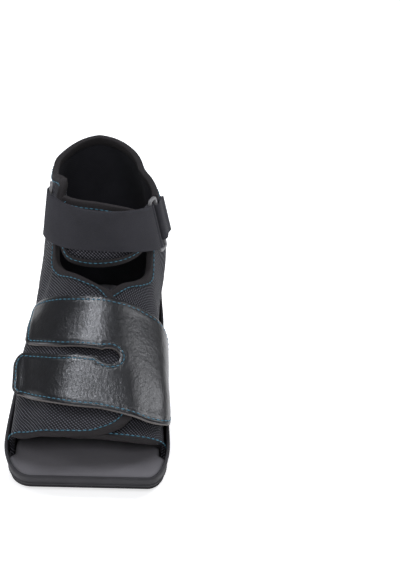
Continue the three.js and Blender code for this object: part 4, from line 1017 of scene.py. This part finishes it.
def band(angle, z, lift):
    """Point of the ankle band: angle from the front, height, and lift from its outer face."""
    angle, z, lift = np.broadcast_arrays(*(np.asarray(v, float) for v in (angle, z, lift)))
    left, right = (ring["front"] + ring["up"] * ((z - ring["front"][2]) / ring["up"][2])[..., None]
                   + flattened(ring["out"]) * (BAND_THICK + BAR_HALF) for ring in RINGS.values())
    middle, half = (left + right) / 2, (right - left) / 2
    limit = math.radians(BAND_ANGLE)
    front = BAND_FRONT_Y + (z - BAND_FRONT_Z) * BAND_LEAN
    ry = (middle[..., 1] - front) / (1 - math.cos(limit))
    rx, sway = half[..., 0] / math.sin(limit), half[..., 1] / math.sin(limit)
    capped = np.clip(angle, -BAND_ANGLE, BAND_ANGLE)
    a = np.radians(capped)
    x = middle[..., 0] + rx * np.sin(a)
    y = front + ry - ry * np.cos(a) + sway * np.sin(a)
    normal = flattened(columns(ry * np.sin(a) + sway * np.cos(a), -rx * np.cos(a), 0))
    medial = (angle >= 0)[..., None]
    ring_out, ring_along = (np.where(medial, flattened(RINGS[1][way]), flattened(RINGS[-1][way]))
                            for way in ("out", "along"))
    at_ring = smooth(BAND_ANGLE - RING_BLEND, BAND_ANGLE, np.abs(angle))[..., None]
    out = flattened(mix(normal, ring_out, at_ring))
    past = ((np.abs(angle) - np.abs(capped)) * MM_PER_DEGREE)[..., None]
    return columns(x, y, z) + out * lift[..., None] + ring_along * past


def band_path():
    """The ribbon's two faces along its length, as (angle, lift), from its free end round both rings."""
    t = BAND_THICK
    bar = -t - BAR_HALF
    top, under, inside = -t / 2, -1.5 * t - PLY_GAP, -2 * BAR_HALF - 1.5 * t
    tail = -2.5 * t - 2 * PLY_GAP
    faces = [[], []]

    def add(angle, middle, flip):
        for k, sign in ((0, 1), (1, -1)):
            faces[k].append(columns(angle, middle + sign * flip * t / 2))

    def loop(sign, flip):
        turn = np.radians(np.linspace(90, -90, 25)[1:-1])
        for k, r in enumerate((BAR_HALF + t, BAR_HALF)):
            angle = sign * (BAND_ANGLE + r * np.cos(turn) / MM_PER_DEGREE)
            faces[k if flip > 0 else 1 - k].append(columns(angle, bar + r * np.sin(turn)))

    free_end = BAND_ANGLE - FREE_END
    a = np.linspace(free_end, -BAND_ANGLE, 110)
    add(a, top, 1)
    loop(-1, 1)
    a = np.linspace(-BAND_ANGLE, BAND_ANGLE, 130)
    sunk = mix(inside, under, smooth(-BAND_ANGLE, -BAND_ANGLE + UNDER_PLY, a))
    add(a, mix(sunk, top, smooth(free_end, BAND_ANGLE - CROSSING_END, a)), -1)
    loop(1, -1)
    s = np.linspace(0, 1, 16)
    add(mix(BAND_ANGLE, BAND_ANGLE - BAND_TAIL, s), mix(inside, tail, smooth(0, 1, s)), 1)
    return np.vstack(faces[0]), np.vstack(faces[1])


def ribbon_piece(name, node, slot, face_a, face_b, edges, across, material):
    """A woven ribbon between two faces, each carried across from its lower to its upper edge."""
    share = 0.5 - 0.5 * np.cos(np.linspace(0, np.pi, across))
    bow = np.sin(np.pi * np.linspace(0, 1, across))
    thin = RIBBON_THIN * (1 - np.minimum(1, bow * RIBBON_ROUND)) ** 2
    grids = []
    for own, other in ((face_a, face_b), (face_b, face_a)):
        eased = own[:, None] + (other - own)[:, None] * thin[:, None]
        grids.append(edges(eased[..., 0], share, eased[..., 1]))
    points, faces, _ = shell(*grids)
    run = path_length(grids[0].mean(axis=1))
    width = norm(grids[0][:, -1] - grids[0][:, 0]).max()
    uv = columns(np.repeat(run, across), np.tile(share * width, len(run)))
    piece(name, node, points, faces, [material], sharp=60, uv=np.vstack([uv, uv]))


def height_between(tab, angle, share):
    return mix(read(tab, "angle", "low", angle), read(tab, "angle", "high", angle), share)


def make_band():
    edges = lambda angle, share, lift: band(angle, height_between(BAND, angle, share), lift)
    ribbon_piece("band", "ankle_strap", "webbing", *band_path(), edges, across=25, material=WEBBING)


PAD_ENDS = PAD["angle"][[0, -1]]
PAD_FACE = -2 * BAND_THICK - PLY_GAP - SEAT - TAPE_GAP - TAPE_WALL


def pad_point(angle, share, side, thick):
    return band(angle, height_between(PAD, angle, share), PAD_FACE - PAD_THICK / 2 + side * thick / 2)


def make_pad():
    """The pad is a quilt held at its sewn edge, and a cloth simulation blows it up."""
    n, m = PAD_GRID
    angle, share = np.broadcast_arrays(np.linspace(*PAD_ENDS, n)[:, None], np.linspace(0, 1, m))
    row = np.arange(n)[:, None]
    near = np.minimum(np.minimum(share, 1 - share) * (m - 1), np.minimum(row, n - 1 - row))
    thick = mix(PAD_THICK * PAD_EDGE, PAD_THICK * PAD_BODY, smooth(0, PAD_EDGE_ROWS, near))
    points, faces, _ = shell(pad_point(angle, share, 1, thick), pad_point(angle, share, -1, thick))
    made = piece("pad", "ankle_pad", points, faces, [PAD_FABRIC_PAINTED_LIGHT])
    inflate(made, np.tile(near.ravel(), 2) <= PAD_HELD_ROWS)
    finer = made.modifiers.new("finer", "SUBSURF")
    finer.levels = finer.render_levels = 1


def inflate(made, held):
    """Cloth pressure inside the pad, with its sewn edge held and its movement kept short."""
    rest = np.array([v.co for v in made.data.vertices])
    group = made.vertex_groups.new(name="sewn_edge")
    group.add(np.nonzero(held[:len(rest)])[0].tolist(), 1.0, "REPLACE")
    cloth = made.modifiers.new("air", "CLOTH")
    air = cloth.settings
    air.use_pressure = True
    air.uniform_pressure_force = AIR_PRESSURE
    air.vertex_group_mass = group.name
    air.mass = CLOTH_MASS
    air.effector_weights.gravity = 0
    for step in range(1, CLOTH_STEPS + 1):
        SCENE.frame_set(step)
    shown = made.evaluated_get(bpy.context.evaluated_depsgraph_get())
    moved = np.array([v.co for v in shown.data.vertices]) - rest
    made.modifiers.remove(cloth)
    SCENE.frame_set(1)
    far = norm(moved)[:, None]
    moved *= np.minimum(1, PAD_SWELL * MM / np.maximum(far, 1e-9))
    made.data.vertices.foreach_set("co", (rest + moved).astype(np.float32).ravel())
    made.data.update()


def pad_outline(count):
    """Points round the pad's edge as (angle, share): low edge, medial end, high edge, lateral end."""
    first, last = PAD_ENDS
    a, s = np.linspace(first, last, count), np.linspace(0, 1, count // 4)
    edges = columns(a, 0), columns(last, s), columns(a[::-1], 1), columns(first, s[::-1])
    return np.vstack([edge[:-1] for edge in edges])


def make_pad_tape():
    angle, share = pad_outline(count=90).T
    raw = pad_point(angle, share, 0, 0)
    edge = smoothed_loop(raw, 3)
    normal = unit(pad_point(angle, share, 1, 2) - raw)
    inward = unit(np.cross(normal, unit(smoothed_loop(loop_tangent(edge), 4))))
    middle = band(0.0, height_between(PAD, 0.0, 0.5), PAD_FACE)
    inward *= np.sign(np.sum((middle - edge) * inward, axis=-1))[:, None]
    half = PAD_THICK * PAD_EDGE / 2 + TAPE_GAP
    swell = PAD_THICK / 2 + TAPE_GAP * 0.4
    slope = mix(half, swell, 0.65)
    w = TAPE_WIDTH
    outer = [(w, swell), (w - 0.1, swell + 0.3), (w - 0.5, swell + 0.5), (w * 0.5, slope + 0.5)]
    outer.append((1.0, half + 0.45))
    outer += [(-NOSE_REACH * math.cos(a), (half + 0.4) * math.sin(a)) for a in NOSE]
    outer += [(a, -b) for a, b in outer[4::-1]]
    section = np.array(outer + [(w * 0.5, -slope), (0.2, -half + 0.2), (0.2, half - 0.2), (w * 0.5, slope)])
    rings = edge[:, None] + inward[:, None] * section[:, :1] + normal[:, None] * section[:, 1:]
    tape_piece("pad_tape", "pad_binding", rings, section, path_length(edge), True)
    sewn = edge + inward * PAD_STITCH + normal * (mix(half, swell, 0.72) + 0.5)
    stitching("pad_stitching", [(closed(sewn), closed(normal))])


def make_ring(name, node, ring):
    corner = np.radians(np.linspace(0, 90, 9))
    r = RING_CORNER - RING_BAR / 2
    far, top = RING_REACH - r, RING_LENGTH / 2 - RING_BAR / 2 - r
    path = []
    for x, y, start in ((far, top, 0), (r, top, 90), (r, -top, 180), (far, -top, 270)):
        a = corner + math.radians(start)
        path.append(columns(x + r * np.cos(a), y + r * np.sin(a)))
    path = np.vstack(path)
    along = np.roll(path, -1, axis=0) - np.roll(path, 1, axis=0)
    side = unit(columns(along[:, 1], -along[:, 0]))
    a = np.radians(np.arange(0, 360, 22.5))
    cut = columns(np.cos(a), np.sin(a))
    cut = np.sign(cut) * np.abs(cut) ** RING_SQUARE * (RING_BAR / 2)
    flat = path[:, None] + side[:, None] * cut[:, :1]
    rings = ring["front"] + ring["along"] * flat[..., :1] + ring["up"] * flat[..., 1:]
    rings = rings + ring["out"] * cut[:, 1:]
    faces = grid_faces(*rings.shape[:2], close_rows=True, close_columns=True)
    piece(name, node, rings.reshape(-1, 3), faces, [PLASTIC])


def make_tab(name, node, ring):
    t = BAND_THICK
    turn = np.radians(np.linspace(90, 270, 25))
    under = -BAR_HALF - t
    over = under + 2 * t + PLY_GAP
    faces = []
    for radius, shift in ((BAR_HALF + t, 0.0), (BAR_HALF, t)):
        bend = columns(radius * np.cos(turn), radius * np.sin(turn))
        out = np.linspace(TAB_LENGTH, 0, 24)[:-1]
        drop = smooth(TAB_LENGTH * TAB_DROP, 0, out)
        first = columns(out, mix(over - shift, radius, drop))
        back = np.linspace(0, TAB_LENGTH, 12)[1:]
        faces.append(np.vstack([first, bend, columns(back, under + shift)]))

    def edges(a, share, b):
        high = mix(-TAB_HALF, TAB_HALF, share)[..., None]
        return ring["rear"] + ring["along"] * a[..., None] + ring["out"] * b[..., None] + ring["up"] * high

    ribbon_piece(name, node, "webbing", *faces, edges, across=15, material=WEBBING)


# The shoe

make_sole()
make_bed()
LATERAL = Ribs(-1, **rows_between(LATERAL_RIBS, count=260))
MEDIAL = Ribs(1, **rows_between(MEDIAL_RIBS, count=240))
HEEL = heel_ribs(count=121)
make_panel("lateral_panel", "lateral_quarter", LATERAL, True, QUARTER_ROWS, LATERAL_MESH)
make_panel("medial_panel", "medial_quarter", MEDIAL, False, QUARTER_ROWS, MEDIAL_MESH)
make_panel("heel_panel", "heel_counter", HEEL, False, HEEL_ROWS, HEEL_FABRIC)
make_tape("lateral_tape", "lateral_binding", LATERAL, True)
make_tape("medial_tape", "medial_binding", MEDIAL, False)
make_tape("heel_tape", "heel_binding", HEEL, False)
stitching("upper_stitching", [edge_stitch(LATERAL, True, first=6), edge_stitch(MEDIAL, False, first=6),
                              edge_stitch(HEEL, False, first=0)])
make_strap()
make_band()
make_pad()
make_pad_tape()
for word, side in (("lateral", -1), ("medial", 1)):
    make_ring(word + "_loop", word + "_ring", RINGS[side])
    make_tab(word + "_tab", word + "_ring_tab", RINGS[side])


# Floor, light and camera

FLOOR_Z = -0.0002
FLOOR_GLOW = 0.65
MIDDLE = (0, 0, 0.05)
COOL_WHITE = (0.97, 0.985, 1.03)
SKY_STRENGTH = 0.15
LENS_MM = 131.87
SENSOR_MM = 36
CAMERA_PLACE = (0.0625, -1.2246, 0.625)
CAMERA_DOWN = 24
CAMERA_YAW = 0.3


def area_light(name, place, size, power, aim=MIDDLE, colour=COOL_WHITE):
    lamp = bpy.data.lights.new(name, "AREA")
    lamp.shape = "RECTANGLE"
    lamp.size, lamp.size_y = size
    lamp.energy = power
    lamp.color = colour
    made = linked(name, lamp)
    made.location = place
    made.rotation_euler = (Vector(aim) - Vector(place)).to_track_quat("-Z", "Y").to_euler()


def make_floor():
    mesh = bpy.data.meshes.new("floor")
    corners = [(x, y, FLOOR_Z) for x, y in ((-3, -3), (3, -3), (3, 6), (-3, 6))]
    mesh.from_pydata(corners, [], [(0, 1, 2, 3)])
    s = Shader("floor_white", 0.9)
    colour = s.ramp(s.noise(6), (0.86, 0.86, 0.86), (0.89, 0.89, 0.89))
    normal = s.bump(s.noise(400, 2), 0.02)
    glow = {"Emission_Color": (1, 1, 1, 1), "Emission_Strength": FLOOR_GLOW}
    mesh.materials.append(s.finish(colour, normal, **glow))
    made = linked("floor", mesh)


make_floor()
area_light("overhead", (-0.1, 0.35, 1.25), (0.06, 1.0), power=9, aim=(-0.01, -0.02, 0.05),
           colour=(0.95, 0.98, 1.05))
area_light("left_box", (-1.25, 0.15, 0.5), (0.25, 0.7), power=5)
area_light("right_box", (1.0, 0.4, 0.85), (0.3, 0.8), power=6)
area_light("front_fill", (0.1, -1.7, 1.3), (1.8, 0.9), power=18)

world = bpy.data.worlds.new("studio")
world.use_nodes = True
sky = world.node_tree.nodes["Background"].inputs
sky["Color"].default_value = (1, 1, 1, 1)
sky["Strength"].default_value = SKY_STRENGTH
SCENE.world = world
SCENE.view_settings.view_transform = "Standard"

lens = bpy.data.cameras.new("camera")
lens.lens = LENS_MM
lens.sensor_width = SENSOR_MM
camera = linked("camera", lens)
camera.location = CAMERA_PLACE
camera.rotation_euler = (math.radians(90 - CAMERA_DOWN), 0, math.radians(-CAMERA_YAW))
SCENE.camera = camera
